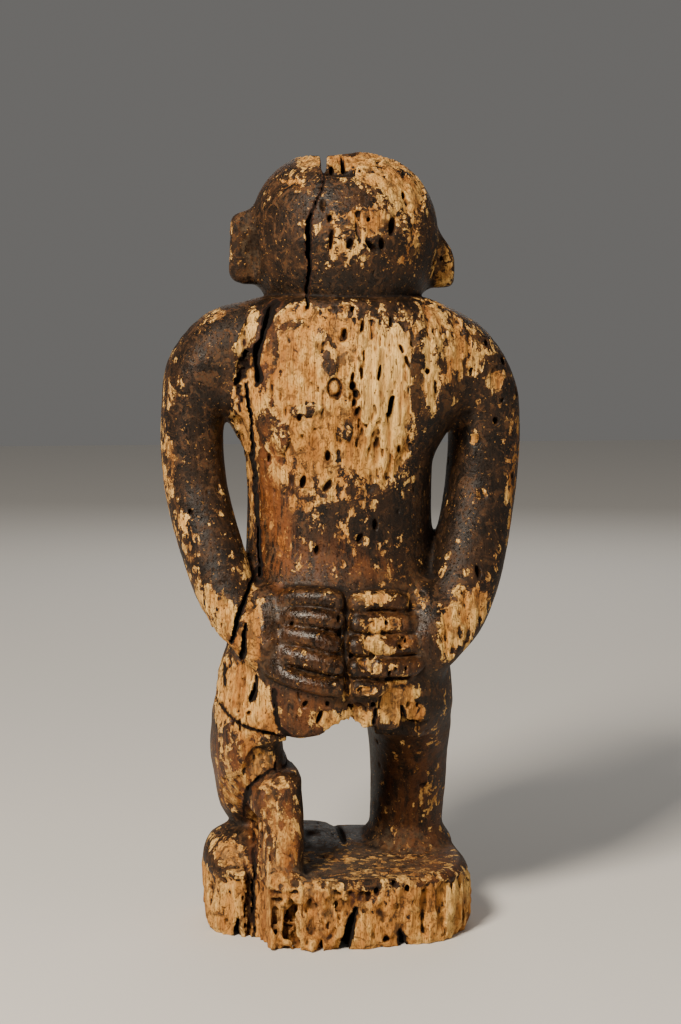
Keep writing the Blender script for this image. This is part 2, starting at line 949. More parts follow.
@dataclass
class Hands:
    """Two hands laid flat on the lower back, fingertips meeting near the spine.

    Attributes:
        body: The trunk that they lie on.
    """

    body: UprightBody

    def carve(self, block: Block) -> None:
        """Join both hands: dark and whole on the left, worn on the right.

        Args:
            block: The block of wood.
        """
        left = Hand(
            self.body,
            (
                (-47.5, 171.5), (-38, 176), (-25.8, 178.8), (-12, 178.4), (-2.6, 176.6), (-1.4, 162),
                (-2.4, 150), (-2.4, 134), (-4.4, 122.4), (-18, 124), (-31, 127.6), (-44.4, 133.6),
                (-49.6, 146), (-49.6, 160),
            ),
            (
                ((-37, 169.6), (-31, 172.6), (-23, 173.4), (-13, 172.6), (-8, 171)),
                ((-31, 163.6), (-20, 163.6), (-9, 161.8)),
                ((-32, 155), (-20, 153.6), (-11, 150.6)),
                ((-33, 145.4), (-20, 143), (-9, 140)),
                ((-38, 136.6), (-27, 132.4), (-16, 130.2), (-9, 129.6)),
            ),
            (-37.5, -30),
        )
        right = Hand(
            self.body,
            (
                (-4.6, 174.6), (8, 177.2), (22.9, 176.6), (33, 172), (40.5, 163), (42.7, 150.7),
                (38.5, 137), (27, 127.4), (12, 122.8), (-4.6, 122.4), (-6, 138), (-6, 150), (-4.6, 162),
            ),
            (
                ((2.5, 169.4), (8, 171.2), (17, 171.4), (25, 169.4)),
                ((2.6, 160.4), (13, 160.3), (30, 158.8)),
                ((1.6, 149.6), (13, 149.2), (31, 149)),
                ((1, 138.8), (13, 138.6), (30, 138)),
                ((2.4, 128.6), (6, 128.4), (12, 127.4)),
            ),
            (35, 29),
            plate=6.2,
            groove=4.8,
        )
        for side, hand in ((-1, left), (1, right)):
            block.join(Swelling((side * 38.0, -31.0, 152.0), (14, 15, 25)), soft=5)
            block.join(hand, soft=0.8)
        block.cut(Limb((Station(16, -56, 132.6, 1.3, 6), Station(28, -54, 132.6, 1.1, 6))), soft=0.6)


@dataclass
class Head:
    """Skull, neck, ears and the face.

    Attributes:
        half: Half width at eye level.
        eyes: Height of the eyes.
        front: Y of the face at eye level.
        back: Y of the back of the head there.
        middle: The face's middle across.
        whole_ear: The left ear as (x, y, z, half width).
        broken_ear: The right ear, which has lost its upper half.
    """

    half: float = 47.0
    eyes: float = 343.1
    front: float = 52.0
    back: float = -43.0
    middle: float = 2.0
    whole_ear: tuple[tuple[float, ...], ...] = (
        (38, 6, 354, 6), (48.4, 4, 352.4, 6), (49.6, 3, 341, 5.4), (49.2, 4, 329.4, 6),
        (39, 6, 327.4, 5),
    )
    broken_ear: tuple[tuple[float, ...], ...] = (
        (40, 6, 345, 6), (46.2, 4, 343, 6), (51.6, 3, 334, 6), (51.4, 4, 327, 6.2), (42, 6, 326.4, 5.6),
    )

    def skull(self) -> "Skull":
        """The skull as a form."""
        h = self.half
        lower = UprightBody(
            (
                Level(300, 2, h * 0.4, -8, 40), Level(306.5, 2, h * 0.58, -21, 48),
                Level(314, 2, h * 0.79, -32, 51), Level(327, 2.5, h * 0.93, -38, 52),
                Level(self.eyes, 2, h, self.back, self.front),
            ),
            2.15,
        )
        return Skull(lower, self.eyes, HEIGHT - self.eyes)

    def ear(self, side: int) -> Limb:
        """A block-like ear.

        Args:
            side: -1 for the ear at -X, 1 for the one at +X.

        Returns:
            The ear as a limb.
        """
        rows = self.whole_ear if side < 0 else self.broken_ear
        return Limb(tuple(Station(side * r[0], r[1], r[2], r[3], 7.5) for r in rows), 3.2, 3)

    def on_face(self, skull: "Skull", x: float, lift: float, proud: float) -> Point:
        """A place on the face.

        Args:
            skull: The skull.
            x: Place across from the face's middle.
            lift: Height over the eyes.
            proud: How far it stands out of the skull.

        Returns:
            The place.
        """
        z = self.eyes + lift
        y = skull.lower.surface(np.array(self.middle + x), np.array(min(z, self.eyes)), Side.FRONT)
        return self.middle + x, float(y) + proud, z

    def face(self, block: Block, skull: "Skull") -> None:
        """Carve a calm, plain face: arched brows, closed lids, a straight nose, level lips and a chin.

        Args:
            block: The block of wood.
            skull: The skull that it is carved on.
        """
        place = partial(self.on_face, skull)
        for side in (-1, 1):
            block.cut(Swelling(place(side * 17, -2, 3.2), (14.5, 6.5, 9.5), side * 6), soft=5)
        rows = ((8, -1.5, 4.2, 4), (0, 0.5, 4, 4), (-9, 2.8, 5, 5), (-15, 4.6, 6.6, 5.4), (-19.5, 0.5, 6, 4))
        nose = Limb(tuple(Station(*place(0, r[0], r[1]), r[2], r[3]) for r in rows), 2.2)
        block.join(nose, soft=3)
        for side in (-1, 1):
            block.join(Swelling(place(side * 6.6, -16.5, 1.2), (4, 5, 4)), soft=2)
            arch = ((5, 9.8, -0.9), (12, 11.6, -0.3), (21, 10.8, -0.7), (30, 7.4, -1.4))
            brow = tuple(Station(*place(side * x, lift, proud), 2.8, 3.8) for x, lift, proud in arch)
            block.join(Limb(brow, 2), soft=3)
            block.join(Swelling(place(side * 17, -1.5, -3.8), (9.2, 6.2, 4.6), side * 3), soft=1.2)
            slit = ((10, -2.4), (17, -4), (24, -2.4))
            lid = tuple(Station(*place(side * x, lift, 1.8), 0.8, 2.2) for x, lift in slit)
            block.cut(Limb(lid, 2), soft=0.8)
        block.join(Swelling(place(0, -29.5, -3.5), (15, 7, 8)), soft=5)
        for lift, wide in ((-26.2, 12), (-31.8, 10.5)):
            block.join(Swelling(place(0, lift, 0.7), (wide, 5.6, 2.9)), soft=1.0)
        parting = ((-11, -28.6), (0, -29.2), (11, -28.6))
        mouth = tuple(Station(*place(x, lift, 3.4), 0.8, 2.6) for x, lift in parting)
        block.cut(Limb(mouth, 2), soft=0.8)
        block.join(Swelling(place(0, -38.5, -6), (11, 8, 5.5)), soft=5)

    def carve(self, block: Block) -> None:
        """Join skull, neck and ears, and carve the face.

        Args:
            block: The block of wood.
        """
        skull = self.skull()
        block.join(skull, soft=3)
        neck = Limb((Station(1, -2, 292, 31, 26), Station(1, 3, 326, 35, 30)), 2.1)
        block.join(neck, soft=3)
        for side in (-1, 1):
            block.join(self.ear(side), soft=5)
            block.cut(Swelling((side * 53.5, 10, 341 if side < 0 else 334), (3.2, 5, 8)), soft=2)
        block.cut(Swelling((-44.5, -8, 341), (4.5, 5, 8.5)), soft=3)
        block.cut(Swelling((-59, 2, 346), (4.4, 10, 4)), soft=1)
        block.cut(Swelling((-58.6, 2, 333), (3.4, 10, 2.4)), soft=1)
        block.join(Swelling((54.4, 4, 324.6), (3.2, 6, 3.4)), soft=1)
        self.face(block, skull)


@dataclass(frozen=True)
class Skull(Form):
    """A head whose crown is a rounded dome over an upright lower half.

    Attributes:
        lower: The lower half, up to the eyes.
        eyes: Height where the dome begins.
        rise: Height of the dome.
        fullness: 2 for an ellipsoid, more for a flatter crown.
    """

    lower: UprightBody
    eyes: float
    rise: float
    fullness: float = 2.35

    def bounds(self) -> tuple[Array, Array]:
        """The lower half's box, raised to the crown."""
        low, high = self.lower.bounds()
        return low, np.array([high[0], high[1], self.eyes + self.rise])

    def distance(self, x: Array, y: Array, z: Array) -> Array:
        """As the lower half, with the height over the eyes added as a third measure.

        f is the p-norm of the outline's measure and of w, the height over the rise, and the distance is
        f (f - 1) over the length of (u / half, v / deep, w / rise).

        Args:
            x: Places across.
            y: Places front to back.
            z: Heights.

        Returns:
            The signed distance.
        """
        below = np.minimum(z, self.eyes)
        half, middle = self.lower.read("half", below), self.lower.read("x", below)
        back, front = self.lower.read("back", below), self.lower.read("front", below)
        deep = (front - back) / 2
        u = (x - middle) / half
        v = (y - (front + back) / 2) / deep
        w = np.maximum(z - self.eyes, 0) / self.rise
        p, q = self.lower.squareness, self.fullness
        outline = (np.abs(u) ** p + np.abs(v) ** p) ** (1 / p)
        f = (outline**q + w**q) ** (1 / q)
        pull = np.sqrt((u / half) ** 2 + (v / deep) ** 2 + (w / self.rise) ** 2) + 1e-6
        return np.maximum(f * (f - 1) / pull, self.lower.levels[0].z - z)


@dataclass
class Legs:
    """Two short legs: the right a plain post, the left a tapering thigh with a nearer calf post.

    Attributes:
        half: Half width of a thigh.
        toes: Toes on each foot.
    """

    half: float = 19.0
    toes: int = 5

    def carve(self, block: Block) -> None:
        """Join both legs and the feet.

        Args:
            block: The block of wood.
        """
        h = self.half
        right = UprightBody(
            (
                Level(24, 36.5, h + 1.5, 4, 46), Level(46, 37, h - 0.5, 2, 42), Level(68, 38, h, -3, 46),
                Level(82, 37.5, h + 0.5, -10, 46), Level(106, 35, h + 2, -29, 38),
                Level(125, 32, h - 1, -34, 30),
            ),
            2.5,
        )
        left = UprightBody(
            (
                Level(24, -38, h - 1, -2, 42), Level(46, -38.5, h - 2.5, -3, 40),
                Level(58, -42.5, h - 1, -10, 44), Level(68, -43.5, h, -22, 46),
                Level(82, -46, h, -34, 46), Level(95, -48, h - 1.5, -38, 40),
                Level(105, -48, h - 2, -40, 38), Level(113, -46, h - 1.5, -40, 34),
                Level(125, -38, h - 3, -28, 28),
            ),
            2.5,
        )
        calf = UprightBody(
            (
                Level(2, -37, 10, -47, -10), Level(33, -35, 12, -51, -8),
                Level(52, -33.3, 10.8, -50, -4), Level(60, -33.4, 11, -48, -2),
                Level(66, -35.6, 13.2, -46, 0), Level(74, -36, 13, -44, 0), Level(79.5, -33, 10, -41, 0),
                Level(83.5, -30.5, 5, -35, -4),
            ),
            3.2,
        )
        block.join(right, soft=5)
        block.join(left, soft=5)
        plane = (
            Station(-38.5, -45, 95.5, 5, 9.5), Station(-43, -44, 89.5, 8.2, 9.5),
            Station(-45.6, -42.5, 83, 6.4, 9.5), Station(-47.4, -41, 78.5, 3.6, 9.5),
        )
        block.cut(Limb(plane, 5), soft=0.6)
        block.join(calf, soft=1.2)
        for side in (-1, 1):
            block.join(Swelling((side * 38, 24, 34), (22, 28, 12)), soft=5)
            block.join(Swelling((side * 39, 40, 84), (13, 8, 11)), soft=7)
            for k in range(self.toes):
                reach = 45 - 0.9 * (k - 1) ** 2
                toe = (side * (25 + k * 6.6), reach, 36.6)
                block.join(Swelling(toe, (3.5, 9, 5.4)), soft=0.8)


@dataclass
class Base:
    """The block that the figure stands on, left from the log.

    Attributes:
        half: Half width.
        deep: Half depth.
        top: Height of the top at its near rim.
        hollows: Broken hollows in the near side, as (x, z, wide, tall, deep, lean).
        ribs: Ribs left standing there, as (x, z, wide, tall).
    """

    half: float = 67.0
    deep: float = 60.0
    top: float = 33.0
    hollows: tuple[tuple[float, ...], ...] = (
        (-21.6, 17, 3.4, 9, 4.5, 4), (-12.6, 20, 4.6, 10, 3.4, 14), (-27.5, 4, 1.2, 4, 5, 0),
        (-16.5, 2, 1.4, 4, 5, 0), (36, 16, 2.6, 14, 2.4, 0), (45, 18, 2.4, 12, 2.2, 0),
    )
    ribs: tuple[tuple[float, ...], ...] = (
        (-35, 3, 6, 4), (-22.5, 3.4, 4.4, 5), (-12, 3.6, 3.6, 5), (-26.6, 20, 2.2, 14),
    )

    def carve(self, block: Block) -> None:
        """Join the slab, the raised far part, the ledge with its split, and the higher left block.

        Args:
            block: The block of wood.
        """
        h, d, t = self.half, self.deep, self.top
        slab = UprightBody(
            (
                Level(-2, -2, h - 3, 2 - d, d - 4), Level(6, -2, h - 0.5, -d, d - 1),
                Level(22, -2, h, -d, d), Level(t - 3, -2, h - 2, 1 - d, d - 1),
                Level(t + 1, -2, h - 6, 4 - d, d - 5),
            ),
            2.9,
        )
        left = UprightBody(
            (
                Level(-2, -52, 16.5, -27, 34), Level(20, -53, 18, -29, 36),
                Level(34, -52.5, 17, -25, 34), Level(42, -52, 14.5, -18, 28),
                Level(47.5, -50, 9, -10, 19), Level(49.5, -48, 4, -5, 13),
            ),
            2.4,
        )
        block.join(slab, soft=2)
        block.join(Swelling((4, 32, t - 7), (52, 26, 12)), soft=5)
        ledge = (Station(-30, 38, 33, 7, 12), Station(-12, 39, 33.4, 6, 13), Station(-4, 39, 32.6, 6, 12))
        block.join(Limb(ledge, 5), soft=1)
        block.cut(Limb((Station(3.2, 36, 45, 2.0, 27), Station(3.4, 36, 35.5, 1.5, 26)), 4), soft=0.6)
        block.cut(Swelling((13, 46, 42.5), (12, 20, 6)), soft=2)
        block.join(Swelling((-35, -46, 34), (11, 11, 6)), soft=4)
        block.join(left, soft=3)

    def break_corner(self, block: Block) -> None:
        """Take the near left corner away in two steps, and break the near side into niches and ribs.

        Args:
            block: The block of wood.
        """
        block.cut(BrokenCorner(), soft=1.5)
        niche = UprightBody((Level(5.5, -33.2, 6.2, -66, -52.4), Level(23.5, -33, 5.8, -66, -53.2)), 6)
        block.cut(niche, soft=1.6)
        rib = Limb((Station(-36.2, -52.5, 4, 2.4, 3.2), Station(-35.6, -52.5, 22, 1.8, 2.8)), 2)
        block.join(rib, soft=2)
        block.cut(Swelling((-29.6, -52, 17), (1.7, 7, 2.8)), soft=0.5)
        for x, z, wide, tall, deep, lean in self.hollows:
            y = block.surface_depth(x, z, Side.BACK)
            block.cut(Swelling((x, y, z), (wide, deep, tall), lean), soft=1.2)
        for x, z, wide, tall in self.ribs:
            y = block.surface_depth(x, z, Side.BACK)
            block.join(Swelling((x, y + 3, z), (wide, 4.6, tall)), soft=1.5)


@dataclass(frozen=True)
class BrokenCorner(Form):
    """The lost near left corner of the base: everything outside a stepped line, seen from above.

    Attributes:
        line: The line as (x, y).
        inner: X where the break meets the sound wood.
    """

    line: tuple[tuple[float, float], ...] = (
        (-90, -8), (-68, -17), (-64, -24), (-57, -31), (-45, -33), (-42.5, -44), (-42.2, -80),
    )
    inner: float = -42.2

    def bounds(self) -> tuple[Array, Array]:
        """The box that holds the corner."""
        return np.array([-80.0, -OUTSIDE, -4.0]), np.array([-42.0, -14.0, 46.0])

    def distance(self, x: Array, y: Array, z: Array) -> Array:
        """How far the place is behind the line: the line's y at that x, less the place's, eased for slope.

        Args:
            x: Places across.
            y: Places front to back.
            z: Heights.

        Returns:
            The signed distance.
        """
        edge = np.interp(x, *np.array(self.line).T)
        return np.maximum((y - edge) * EASE, x - self.inner) + 0 * z


# Wear and colour


@dataclass(frozen=True)
class Patch:
    """A place where the skin of the wood differs: an ellipse as seen from one side.

    Attributes:
        x: Middle across.
        z: Middle up.
        wide: Half width.
        tall: Half height.
        strength: How strongly it shows, 0 to 1, or below 0 to keep the dark skin.
        lean: Turn in degrees, positive from +Z towards +X.
        side: The side that it lies on.
    """

    x: float
    z: float
    wide: float
    tall: float
    strength: float = 1.0
    lean: float = 0.0
    side: Side = Side.BACK

    def weight(self, points: Array) -> Array:
        """Strength at each place: full inside half the ellipse, fading past its edge and round the side.

        Args:
            points: Places, one a row.

        Returns:
            The strength there.
        """
        c, s = math.cos(math.radians(self.lean)), math.sin(math.radians(self.lean))
        dx, dz = points[:, 0] - self.x, points[:, 2] - self.z
        u = (c * dx - s * dz) / self.wide
        w = (s * dx + c * dz) / self.tall
        near = 1 - step_between(0.47, 1.2, np.sqrt(u * u + w * w))
        facing = step_between(-14, 6, self.side.value * points[:, 1] + 4)
        return self.strength * near * facing


def patches(*rows: tuple) -> tuple[Patch, ...]:
    """A patch from each row of measures, in the order of the fields."""
    return tuple(Patch(*row) for row in rows)


BARE = patches(
    (-25, 150, 23, 30, -0.75), (36, 146, 8, 18, -0.6), (-36, 338, 15, 28, -0.8),
    (-24, 360, 15, 10, -0.6, 20), (-40, 366, 8, 14, -0.5, 30), (4, 322, 46, 9, -0.8),
    (4, 365, 18, 7, -0.6, -10), (-70, 268, 10, 46, -0.6), (-70, 205, 8, 30, -0.5, -15),
    (-42.6, 301, 2.6, 8, -0.7, 14), (-3, 284, 42, 35, 0.78), (15, 264, 20, 42, 0.95),
    (-20, 262, 24, 34, 0.74), (14, 244, 16, 18, 0.85), (-15, 240, 24, 24, 0.52),
    (-10, 214, 24, 22, 0.34), (12, 188, 26, 18, 0.2), (48, 299, 28, 11, 0.58, 65),
    (42, 278, 9, 20, 0.46, 30), (62, 290, 16, 12, 0.34), (-34, 226, 10, 34, 0.3),
    (-26, 192, 14, 12, 0.24), (-20, 114, 9, 9, 0.26), (31, 276, 3.6, 19, -0.75),
    (-29, 303.5, 9, 2.4, -0.75, -14), (-37, 294, 2.6, 9, -0.65), (-13.5, 298, 4, 5, -0.5),
    (-10, 286, 4.4, 10, -0.6), (-22, 263, 10, 4, -0.5, -10), (-33, 250, 4, 10, -0.5),
    (-3, 252, 5, 6, -0.45), (6, 309, 14, 3, -0.4, -6), (-50, 340, 8, 14, -0.6),
    (39.5, 279, 3.2, 24, 0.72, -5), (-36, 291, 6, 16, 0.5), (-49.6, 298.6, 3.7, 15, 1.0, 24),
    (-26, 306, 14, 8, 0.72), (-50, 272, 8, 24, 0.7, 6), (-48, 235, 5, 52, 0.9), (-66, 308, 14, 5, 0.42),
    (-89, 234, 6, 26, 0.42), (-80, 195, 8, 26, 0.22, -15), (-64, 163, 11, 20, 0.58, -35),
    (-57, 150, 10, 8, 0.75), (-48.5, 152, 5, 26, 1.0), (74, 277, 5, 8, 0.6), (65, 246, 3, 3.4, 0.8),
    (68, 219, 3, 3, 0.8), (84, 230, 6, 50, 0.3), (54, 158, 13, 22, 0.78, 35), (10, 172, 9, 3.2, 0.8),
    (14, 160, 15, 3.6, 0.5), (12, 156, 6, 5, 0.85, 30), (8, 149, 5, 7, 0.8, -20),
    (15, 147, 6, 4, 0.7, 20), (25, 150, 7, 3.4, 0.62, -15), (7, 140, 7, 4.6, 0.8, 15),
    (18, 138, 4, 3, 0.5), (5, 128.5, 7, 2.8, 0.7), (-3.5, 129, 2.4, 8, 0.8), (33, 169, 8, 6, 0.55),
    (-8, 151, 2, 4, 0.7, -25), (-52, 121, 16, 21, 1.0), (-42, 110, 9, 7, 0.9),
    (-12, 112, 8, 6, 0.85, 30), (2, 115, 8, 8, 0.75), (22, 120, 12, 14, 0.82), (32, 113, 6, 6, 0.6),
    (-54, 92, 14, 18, 0.34), (-44, 88, 8, 11, 0.7, 25), (-56, 70, 8, 16, 0.56), (-37, 54, 11, 32, 0.58),
    (-57, 38, 14, 8, 0.46, 30), (40, 60, 20, 40, 0.16), (0, 34, 56, 5, 0.36),
    (20, 374, 24, 14, 0.74, 25), (31, 366, 12, 10, 0.6, -40), (5, 386, 24, 7, 0.85),
    (-28, 372, 8, 5, 0.6, 40), (-17, 383, 8, 5, 0.6), (-2, 349, 15, 14, 0.48), (14, 356, 16, 10, 0.46),
    (31, 352, 10, 14, 0.28), (22, 334, 14, 9, 0.16), (-28, 346, 10, 8, 0.16), (50, 332, 9, 14, 0.5, 10),
    (-56, 351.6, 2.6, 6.5, 1.0), (-55.6, 338.6, 2.4, 5.5, 0.95), (-10, 326, 3, 3.4, 0.9),
    (2, 330, 6, 14, 0.4, 0, Side.FRONT), (10, 374, 34, 12, 0.5, 24, Side.FRONT),
    (22, 268, 12, 34, 0.38, 16, Side.FRONT), (-28, 258, 12, 34, 0.34, -12, Side.FRONT),
    (2, 190, 16, 48, 0.34, 6, Side.FRONT), (-24, 152, 14, 34, 0.3, -10, Side.FRONT),
    (-44, 90, 9, 30, 0.4, 4, Side.FRONT), (41, 82, 8, 30, 0.38, -6, Side.FRONT),
    (76, 246, 7, 44, 0.36, 4, Side.FRONT), (-82, 222, 6, 40, 0.34, -8, Side.FRONT),
)

WARM = patches(
    (-37, 56, 12, 30, 0.8), (-37, 225, 9, 46, 0.85), (-34, 196, 8, 26, 0.8), (-12, 190, 22, 12, 0.35),
    (-34, 285, 12, 26, 0.5), (-24, 118, 14, 16, 0.5), (-22, 152, 20, 24, 0.12), (20, 148, 20, 26, 0.2),
    (-56, 84, 12, 26, 0.7), (12, 186, 14, 8, 0.4), (40, 60, 22, 46, 0.4), (-44, 24, 6, 34, 0.6),
    (-18, 18, 14, 14, 0.6), (0, 180, 40, 60, 0.4, 0, Side.FRONT),
)

STRAW = patches(
    (16, 270, 15, 46, 1.0), (46, 298, 22, 10, 0.4, 65), (40, 278, 5, 24, 0.7, -5),
    (56, 156, 10, 20, 0.4), (54, 18, 14, 20, 0.5), (-49.6, 298.6, 6, 15, 1.0, 24),
    (-53, 122, 13, 18, 0.45), (-22, 276, 16, 26, 0.34), (30, 366, 14, 10, 0.4, -35),
    (10, 149, 8, 12, 0.5),
)

DUST = patches(
    (-28, 150, 26, 32, 0.3), (26, 150, 22, 32, 0.4), (31, 276, 5, 24, 0.9), (-29, 303.5, 9, 3, 0.8, -14),
    (-33, 294, 5, 14, 0.8, 20), (-38, 303, 4, 9, 0.9, 12), (-4, 296, 8, 12, 0.7), (-12, 274, 5, 12, 0.7),
    (0, 118, 30, 12, 0.5), (-43, 88, 9, 12, 1.0, 25), (-23, 52, 5, 34, 1.0), (-36, 56, 12, 30, 0.6),
    (-33, 15, 9, 11, 1.0), (-33, 15, 8, 10, 1.0), (-14, 22, 7, 12, 0.8, 14), (0, 37, 66, 9, 0.8),
    (-58, 40, 16, 10, 0.8), (24, 340, 18, 14, 0.4), (-48, 341, 9, 20, 0.9), (50, 334, 9, 16, 0.8),
    (-30, 340, 14, 22, 0.5), (-60, 300, 26, 16, 0.35),
)

SOOT = patches(
    (12, 204, 36, 24, 1.0), (46, 215, 10, 50, 0.9), (72, 205, 22, 60, 0.7), (-72, 184, 20, 44, 0.7),
    (-74, 262, 16, 56, 0.4), (38, 84, 26, 50, 0.8), (4, 322, 46, 9, 0.7), (-25, 150, 26, 32, 0.4),
    (36, 146, 9, 20, 0.5),
)

POLISH = patches(
    (-25, 150, 26, 32, 1.0), (22, 150, 24, 30, 0.8), (-36, 338, 15, 28, 0.3), (4, 325, 46, 12, 0.3),
    (-70, 268, 12, 46, 0.3), (-24, 116, 14, 12, 0.6),
)

TORN = patches(
    (15, 268, 17, 48, 1.0), (-20, 272, 24, 34, 0.3), (-50, 276, 8, 30, 0.8), (-46, 225, 4, 60, 0.4),
    (-52, 121, 16, 20, 0.35), (10, 116, 32, 9, 1.0), (12, 148, 16, 26, 0.5), (54, 158, 14, 22, 0.6),
    (52, 334, 10, 16, 0.7), (2, 350, 20, 13, 0.6), (8, 384, 26, 12, 0.6), (-34, 56, 12, 26, 0.5),
)


@dataclass
class Weathering:
    """Where the dark skin is worn through, and how rough each place is.

    Attributes:
        noise: The noise that makes every edge ragged.
        whole: The sum on whole skin.
        worn: What a full patch adds to it.
        ragged: What the coarse noise adds.
        kept: What the patches below 0 take off.
        base: How bare the sides of the base are.
        reach: Distance from the surface within which wood is worn away.
    """

    noise: Noise
    whole: float = 0.05
    worn: float = 0.97
    ragged: float = 0.29
    kept: float = 0.26
    base: float = 0.8
    reach: float = 6.5

    def total(self, patches: tuple[Patch, ...], points: Array) -> Array:
        """Strength of all patches: 1 - the product of what each leaves; one below 0 takes its share off."""
        left = np.ones(len(points), np.float32)
        kept = np.ones(len(points), np.float32)
        for patch in patches:
            weight = patch.weight(points)
            if patch.strength > 0:
                left *= 1 - weight
            else:
                kept *= 1 + weight
        return (1 - left) * kept

    def base_side(self, points: Array) -> Array:
        """1 on the sides of the base, fading out over 6 mm towards its top."""
        return 1 - step_between(27, 33, points[:, 2])

    def spared(self, points: Array) -> Array:
        """0 to 1: how strongly the patches below 0 keep the skin whole at each place."""
        kept = np.ones(len(points), np.float32)
        for patch in BARE:
            if patch.strength < 0:
                kept *= 1 + patch.weight(points)
        return 1 - kept

    def raw(self, points: Array) -> Array:
        """Sum whose rise over 0.5 tells bare wood from skin: patches, base and noise.

        Args:
            points: Places, one a row.

        Returns:
            The sum, about 0 on whole skin and 1 on bare wood.
        """
        worn = np.maximum(self.total(BARE, points), self.base * self.base_side(points))
        coarse = self.noise.layered(points, (8, 8, 14), 3, 3.1)
        total = self.whole + self.worn * worn + self.ragged * coarse
        return total - self.kept * self.spared(points) * (1 - worn)

    def bare(self, points: Array) -> Array:
        """0 on the dark skin to 1 on bare wood."""
        fine = self.noise.at(points, (2.2, 2.2, 4.2), 9.7)
        return step_between(0.42, 0.58, self.raw(points) + 0.1 * fine)

    def erosion(self, points: Array) -> Array:
        """Depth of wood lost: bare places lie lower, torn into strands along the grain.

        Args:
            points: Places, one a row.

        Returns:
            The depth in millimetres.
        """
        bare = self.bare(points)
        torn = self.total(TORN, points)
        side = self.base_side(points)
        broad = self.noise.at(points, (5.2, 5.2, 30), 17.2)
        strands = self.noise.at(points, (3.1, 3.1, 40), 1.9) + 0.6 * broad
        fibres = self.noise.at(points, (1.8, 1.8, 13), 5.3)
        grit = self.noise.at(points, (2.4, 2.4, 3.6), 31.0)
        hollows = self.noise.layered(points, (12, 12, 26), 2, 12.9)
        waves = self.noise.layered(points, (26, 26, 34), 2, 21.7)
        depth = 0.8 + 0.5 * grit + 0.5 * fibres + 0.4 * strands + 0.7 * hollows
        depth += torn * (1.4 * strands + 0.6 * fibres + 0.8 * hollows + 0.4)
        crevice = step_between(0.42, 0.62, self.noise.at(points, (2.0, 2.0, 8.5), 44.0))
        depth += (0.4 + 1.2 * torn) * crevice
        lumps = step_between(-0.25, 0.35, self.noise.layered(points, (6.5, 6.5, 12), 3, 61.0))
        near = step_between(20, 45, -points[:, 1]) * step_between(-58, -36, points[:, 0])
        near *= 1 - step_between(24, 40, points[:, 0])
        ragged = side * (0.6 * strands + 0.7 * hollows + near * (1.7 * lumps + 1.3 * hollows + 0.8 * grit))
        return bare * np.maximum(depth, -0.15) + 0.22 * waves + 0.08 * grit + ragged


# The surface drawn out of the block


@dataclass
class SurfaceNet:
    """The surface between wood and air.

    Attributes:
        points: Its vertices in millimetres, one a row.
        faces: Its faces, four vertex numbers a row.
    """

    points: Array
    faces: Array

    @classmethod
    def of(cls, block: Block) -> "SurfaceNet":
        """One vertex in each cell that the surface crosses, at the mean of the crossings on its edges.

        Args:
            block: The block of wood.

        Returns:
            The net of four-sided faces, its largest body only.
        """
        values = block.field
        inside = values < 0
        shape = np.array(values.shape)
        weights = np.array([shape[1] * shape[2], shape[2], 1])
        cells, places, quads = [], [], []
        for axis in range(3):
            step = np.eye(3, dtype=int)[axis]
            first = inside[tuple(slice(0, -1) if a == axis else slice(None) for a in range(3))]
            second = inside[tuple(slice(1, None) if a == axis else slice(None) for a in range(3))]
            index = np.argwhere(first != second)
            start = values[tuple(index.T)]
            end = values[tuple((index + step).T)]
            crossing = index + (start / (start - end))[:, None] * step
            u, v = np.eye(3, dtype=int)[(axis + 1) % 3], np.eye(3, dtype=int)[(axis + 2) % 3]
            around = [(index - a * u - b * v) @ weights for a, b in ((1, 1), (0, 1), (0, 0), (1, 0))]
            quad = np.stack(around, axis=1)
            quads.append(np.where((start < 0)[:, None], quad, quad[:, ::-1]))
            cells.append(quad.ravel())
            places.append(np.repeat(crossing, 4, axis=0))
        ids, back = np.unique(np.concatenate(cells), return_inverse=True)
        spots = np.concatenate(places)
        count = np.bincount(back, minlength=len(ids))
        points = np.stack([np.bincount(back, spots[:, k], len(ids)) / count for k in range(3)], axis=1)
        faces = np.searchsorted(ids, np.concatenate(quads))
        origin = np.array([a[0] for a in block.axes])
        return cls(points * block.pitch + origin, faces).largest()

    def largest(self) -> "SurfaceNet":
        """Only the body with the most vertices, so that no loose crumb is left."""
        label = np.arange(len(self.points))
        pairs = np.concatenate([self.faces[:, [0, 1]], self.faces[:, [1, 2]], self.faces[:, [2, 3]]])
        while True:
            least = np.minimum(label[pairs[:, 0]], label[pairs[:, 1]])
            new = label.copy()
            np.minimum.at(new, pairs[:, 0], least)
            np.minimum.at(new, pairs[:, 1], least)
            new = new[new]
            if np.array_equal(new, label):
                break
            label = new
        keep = label == np.bincount(label).argmax()
        number = np.cumsum(keep) - 1
        return SurfaceNet(self.points[keep], number[self.faces[keep[self.faces[:, 0]]]])

    def mesh(self, name: str) -> bpy.types.Mesh:
        """The net as a Blender mesh in metres.

        Args:
            name: Name of the mesh.

        Returns:
            The mesh.
        """
        mesh = bpy.data.meshes.new(name)
        mesh.vertices.add(len(self.points))
        mesh.vertices.foreach_set("co", (self.points * METRES).astype(np.float32).ravel())
        mesh.loops.add(self.faces.size)
        mesh.loops.foreach_set("vertex_index", self.faces.ravel().astype(np.int32))
        mesh.polygons.add(len(self.faces))
        mesh.polygons.foreach_set("loop_start", np.arange(0, self.faces.size, 4, dtype=np.int32))
        mesh.update(calc_edges=True)
        return mesh


def read_vectors(items: bpy.types.bpy_prop_collection, key: str) -> Array:
    """One vector of each item of a mesh, one a row."""
    flat = np.zeros(len(items) * 3, np.float32)
    items.foreach_get(key, flat)
    return flat.reshape(-1, 3).astype(float)


